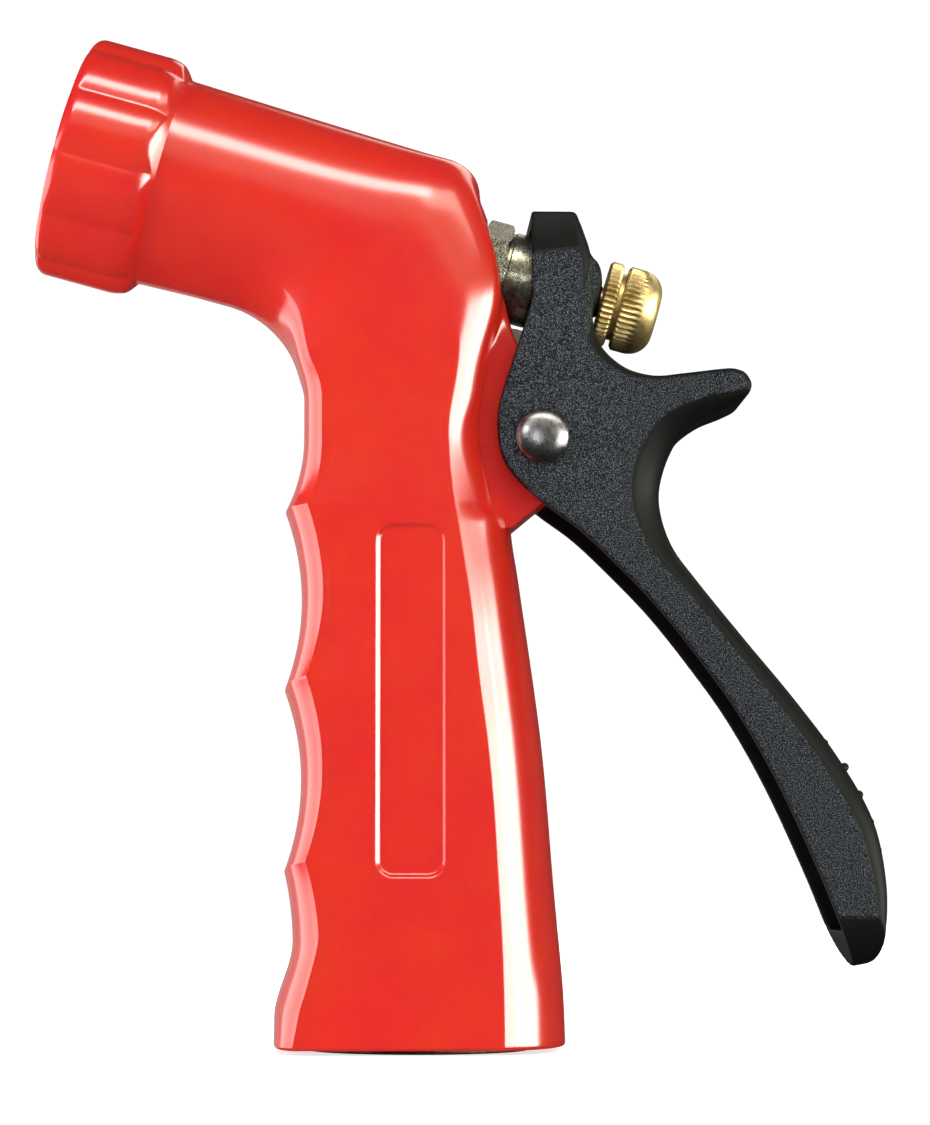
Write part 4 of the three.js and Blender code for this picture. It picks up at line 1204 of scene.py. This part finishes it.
def make_cap_nut():
    """Domed nut, knurled round its front edge."""
    start, end, knob_r = barrel_span("cap_lock_nut")
    hub_r, bore_r, knurl_start = 5.0, STEM_R + 0.25, start - 0.25
    dome_start = knurl_start + 2.0
    outer = [(dome_start + (end - dome_start) * math.sin(t), knob_r - 3.2 * (1 - math.cos(t)) ** 1.05)
             for t in np.linspace(0, math.pi / 2, 16)]
    bore_end = 33.2
    profile = [(bore_end, 0.01), (bore_end, bore_r), (start, bore_r), (start, hub_r)]
    profile += [(knurl_start + 0.02, hub_r + 0.1), (knurl_start, knob_r - 0.5)]
    profile += [(knurl_start + 0.12, knob_r - 0.3), (knurl_start + 0.38, knob_r)]
    profile += [(u, knob_r) for u in np.linspace(knurl_start + 0.6, dome_start - 0.2, 5)]
    profile += outer + [(end, 1.6), (end, 0.01)]
    teeth = knurl(knob_r, lambda u: 1 - float(smooth((u - dome_start + 0.3) / 1.5)))
    made = turned_solid("domed_cap_nut", profile, TEETH * 8, teeth)
    return piece(made, "cap_nut", "knob_brass", ["cap_lock_nut"], sharp=60)


knurled_ring = make_adjusting_nut()
domed_nut = make_cap_nut()


def make_collar():
    """Inlet collar with its thread and the shelf that the washer lies against."""
    _, (outer_r, _, top) = corners("inlet_collar")
    thread_r, hole_r, shelf = 13.4, 8.2, top - 1.6
    pitch, crest = 2.2, 0.55
    profile = rounded([
        (0, thread_r + 0.6, 0.1), (0, outer_r, 0.35), (top, outer_r), (top, hole_r), (shelf, hole_r),
        (shelf, thread_r)], 0.2)
    threads = []
    z = shelf - 1.4
    while z > 2.2:
        threads += [(z, thread_r), (z - 0.5, thread_r + crest)]
        threads += [(z - 1.1, thread_r + crest), (z - 1.6, thread_r)]
        z -= pitch
    profile = [tuple(p) for p in profile] + threads + [(0.9, thread_r)]
    made = turned_solid("threaded_collar", profile, 144, ring=True, lay=upright)
    return piece(made, "body", "cast_collar", ["inlet_collar"])


def make_spray_nozzle():
    """Flanged insert at the mouth, its face stepped and funnelled into the orifice."""
    start, end, flange_r = barrel_span("spray_nozzle")
    shank_r, orifice_r = 8.2, 3.4
    flange_u = start + 2.7
    profile = rounded([
        (end, orifice_r, 0.2), (flange_u + 0.4, orifice_r, 0.4), (start + 0.9, 5.9, 0.3),
        (start, 6.4, 0.25), (start, 7.6, 0.1), (start + 0.35, 7.9, 0.1), (start + 0.35, 8.5, 0.1),
        (start, 8.8, 0.1), (start, flange_r, 0.5), (flange_u, flange_r, 0.2), (flange_u, shank_r, 0.1),
        (end - 0.4, shank_r, 0.1), (end, shank_r - 0.6)], 0.2)
    made = turned_solid("spray_insert", profile, 144, ring=True)
    return piece(made, "body", "brass", ["spray_nozzle"], sharp=30)


def make_stem():
    """Valve rod: thin front end for the seal, plain rod, and a thread for the two nuts."""
    start, end, _ = barrel_span("valve_stem")
    tenon_r, step_u = 1.5, -36.4
    pitch, root_r = 1.0, STEM_R - 0.22
    profile = rounded([
        (start, 0.01), (start, tenon_r, 0.2), (step_u, tenon_r, 0.05), (step_u, STEM_R, 0.2),
        (24, STEM_R, 0.02)], 0.1)
    u = 24.2
    while u < end - pitch:
        profile += [(u, STEM_R), (u + 0.25, root_r), (u + 0.5, root_r), (u + 0.75, STEM_R)]
        u += pitch
    profile += [(end - 0.4, STEM_R), (end, STEM_R - 0.4), (end, 0.01)]
    made = turned_solid("valve_rod", profile, 64)
    return piece(made, "stem", "brass", ["valve_stem"])


def make_seal(name, node, body, lay, place):
    """A rubber ring with rounded edges; place(x, z) gives the axial and radial side-view coordinates."""
    x, y, z = node_points(node).T
    u, n = place(x, z)
    r = np.hypot(y, n)
    low, high, inner, outer = u.min(), u.max(), r.min(), r.max()
    middle = (low + high) / 2
    profile = rounded([
        (middle, inner), (low, inner), (low, outer), (high, outer), (high, inner), (middle, inner)],
        0.42 * (high - low), 7)
    made = turned_solid(name, profile[:-1], 96, ring=True, lay=lay)
    return piece(made, body, "black_rubber", [node])


def make_spring():
    """The return spring: nine open turns between two closed ones, carried with the stem."""
    start, end, outer_r = barrel_span("return_spring")
    wire_r = 0.6
    turns, per_turn = 11, 40
    t = np.linspace(0, 1, turns * per_turn + 1)
    phase = t * turns
    room = end - start - 2 * wire_r
    closed = 2 * wire_r + 0.05
    u = start + wire_r + np.interp(phase, [0, 1, turns - 1, turns], [0, closed, room - closed, room])
    turn = phase * 2 * math.pi
    r = outer_r - wire_r
    centre = np.stack([u, r * np.sin(turn), r * np.cos(turn)], -1)
    tangent = np.gradient(centre, axis=0)
    tangent /= np.linalg.norm(tangent, axis=1)[:, None]
    outward = np.stack([np.zeros_like(turn), np.sin(turn), np.cos(turn)], -1)
    across = np.cross(tangent, outward)
    spin = np.arange(12) * math.pi / 6
    rings = [c + wire_r * (np.outer(np.cos(spin), o) + np.outer(np.sin(spin), a))
             for c, o, a in zip(centre, outward, across)]
    points, faces = closed_loft(rings)
    made = solid("return_coil", on_barrel(points), faces)
    made = piece(made, "stem", "spring_steel", ["return_spring"])
    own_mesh(made)
    return made


make_collar()
make_spray_nozzle()
make_stem()
make_seal("hose_washer", "inlet_gasket", "body", upright, lambda x, z: (z, x))
make_seal("nozzle_washer", "nozzle_gasket", "body", on_barrel, barrel_coordinates)
make_seal("seat_washer", "valve_seal", "stem", on_barrel, barrel_coordinates)
make_seal("stem_packing", "packing_ring", "body", on_barrel, barrel_coordinates)
make_spring()

# ---------------------------------------------------------------- studio

TARGET = Vector((0.0066, 0, 0.0676))
LIGHT_DISTANCE = 1.3


def softbox(name, azimuth, elevation, width, height, radiance, colour, seen_by, only=()):
    """A soft rectangular light in metres; azimuth is from straight in front towards +X, in degrees.
    seen_by is the one kind of light it gives, "diffuse" or "glossy". only lists the pieces it falls on."""
    a, e = math.radians(azimuth), math.radians(elevation)
    toward = Vector((math.sin(a) * math.cos(e), -math.cos(a) * math.cos(e), math.sin(e)))
    light = bpy.data.lights.new(name, "AREA")
    light.shape = "RECTANGLE"
    light.size, light.size_y = width, height
    light.energy = radiance * math.pi * width * height
    light.color = colour
    made = bpy.data.objects.new(name, light)
    made.location = TARGET + toward * LIGHT_DISTANCE
    made.rotation_mode = "QUATERNION"
    made.rotation_quaternion = toward.to_track_quat("Z", "Y")
    made.visible_camera = False
    made.visible_glossy = seen_by == "glossy"
    made.visible_diffuse = seen_by == "diffuse"
    if only:
        receivers = bpy.data.collections.new(name)
        for lit_piece in only:
            receivers.objects.link(lit_piece)
        made.light_linking.receiver_collection = receivers
    bpy.context.scene.collection.objects.link(made)


METAL = [rivet, gland_nut, knurled_ring, domed_nut]
WARM, PINK, WHITE = (1, 0.97, 0.88), (1, 0.93, 0.88), (1, 1, 1)
for light_row in (
        ("right_strip", 53, 2, 0.84, 0.58, 13, WARM, "glossy"),
        ("right_far", 86, 2, 0.84, 0.58, 13, WARM, "glossy"),
        ("top", 4, 53, 1.1, 0.3, 11, (1, 0.96, 0.88), "glossy"),
        ("top_front", 4, 33, 1.2, 0.5, 0.5, (1, 0.9, 0.6), "glossy"),
        ("top_right", 48, 42, 0.7, 0.35, 4.5, (1, 0.93, 0.78), "glossy"),
        ("left_strip", -84, 3, 0.8, 0.8, 3.4, PINK, "glossy"),
        ("left_back", -121, 3, 1.0, 0.8, 2.4, PINK, "glossy"),
        ("fill_front", 5, 44, 1.6, 1.2, 1.72, (1, 1.06, 1.05), "diffuse"),
        ("fill_right", 60, 30, 1.0, 1.2, 1.4, (1, 1.3, 0.7), "diffuse"),
        ("fill_left", -70, 0, 1.2, 1.4, 4.2, (1, 0.85, 1.1), "diffuse"),
        ("fill_low", 0, -38, 1.4, 0.8, 2.4, (1, 0.6, 2.6), "diffuse"),
        ("fill_back", 150, 0, 1.4, 1.2, 2.4, (1, 0.95, 0.95), "diffuse"),
        ("left_far", -158, 3, 1.0, 0.8, 0.4, PINK, "glossy"),
        ("back_right", 150, 38, 0.8, 0.4, 2.0, (1, 0.95, 0.85), "glossy"),
        ("metal_near", -8, 4, 0.16, 0.16, 22, WHITE, "glossy", METAL),
        ("metal_left", -36, 20, 0.4, 0.4, 9, WHITE, "glossy", METAL)):
    softbox(*light_row)

world = bpy.data.worlds.new("studio")
bpy.context.scene.world = world
world.use_nodes = True
tree = world.node_tree
faint, seen = tree.nodes["Background"], tree.nodes.new("ShaderNodeBackground")
for backdrop, strength in ((faint, 0.04), (seen, 1.1)):
    backdrop.inputs["Color"].default_value = (1, 1, 1, 1)
    backdrop.inputs["Strength"].default_value = strength
path = tree.nodes.new("ShaderNodeLightPath")
either = tree.nodes.new("ShaderNodeMixShader")
tree.links.new(path.outputs["Is Camera Ray"], either.inputs["Fac"])
tree.links.new(faint.outputs["Background"], either.inputs[1])
tree.links.new(seen.outputs["Background"], either.inputs[2])
tree.links.new(either.outputs["Shader"], tree.nodes["World Output"].inputs["Surface"])


def make_floor():
    """Pale floor that the camera sees fading into the backdrop."""
    reach, near_m, far_m = 6000, 0.12, 0.6
    corner_signs = ((-1, -1), (1, -1), (1, 1), (-1, 1))
    floor = solid("floor", [(a * reach, b * reach, -0.05) for a, b in corner_signs], [(0, 1, 2, 3)])
    look = Look("pale_floor", Roughness=0.9)
    look.feed("Base Color", look.ramp(look.noise(400, 2), (0.4, 0.90), (0.6, 0.93)))
    away = look.nodes.new("ShaderNodeVectorMath")
    away.operation = "LENGTH"
    look.links.new(look.place, away.inputs[0])
    share = look.math("DIVIDE", look.math("SUBTRACT", away.outputs["Value"], near_m), far_m)
    glow = look.ramp(share, (0.0, 0.72), (1.0, 1.0))
    seen_only = look.nodes.new("ShaderNodeLightPath").outputs["Is Camera Ray"]
    look.feed("Emission Color", glow)
    look.feed("Emission Strength", seen_only)
    floor.data.materials.append(look.material)
    floor.visible_glossy = False


make_floor()

camera = bpy.data.objects.new("camera", bpy.data.cameras.new("camera"))
bpy.context.scene.collection.objects.link(camera)
eye = Vector((-0.007718, -0.487785, 0.023329))
camera.location = eye
camera.rotation_mode = "QUATERNION"
camera.rotation_quaternion = (TARGET - eye).to_track_quat("-Z", "Y")
camera.data.lens = 112
camera.data.sensor_width = 36
camera.data.clip_start, camera.data.clip_end = 0.01, 50
bpy.context.scene.camera = camera
bpy.context.scene.view_settings.view_transform = "Standard"
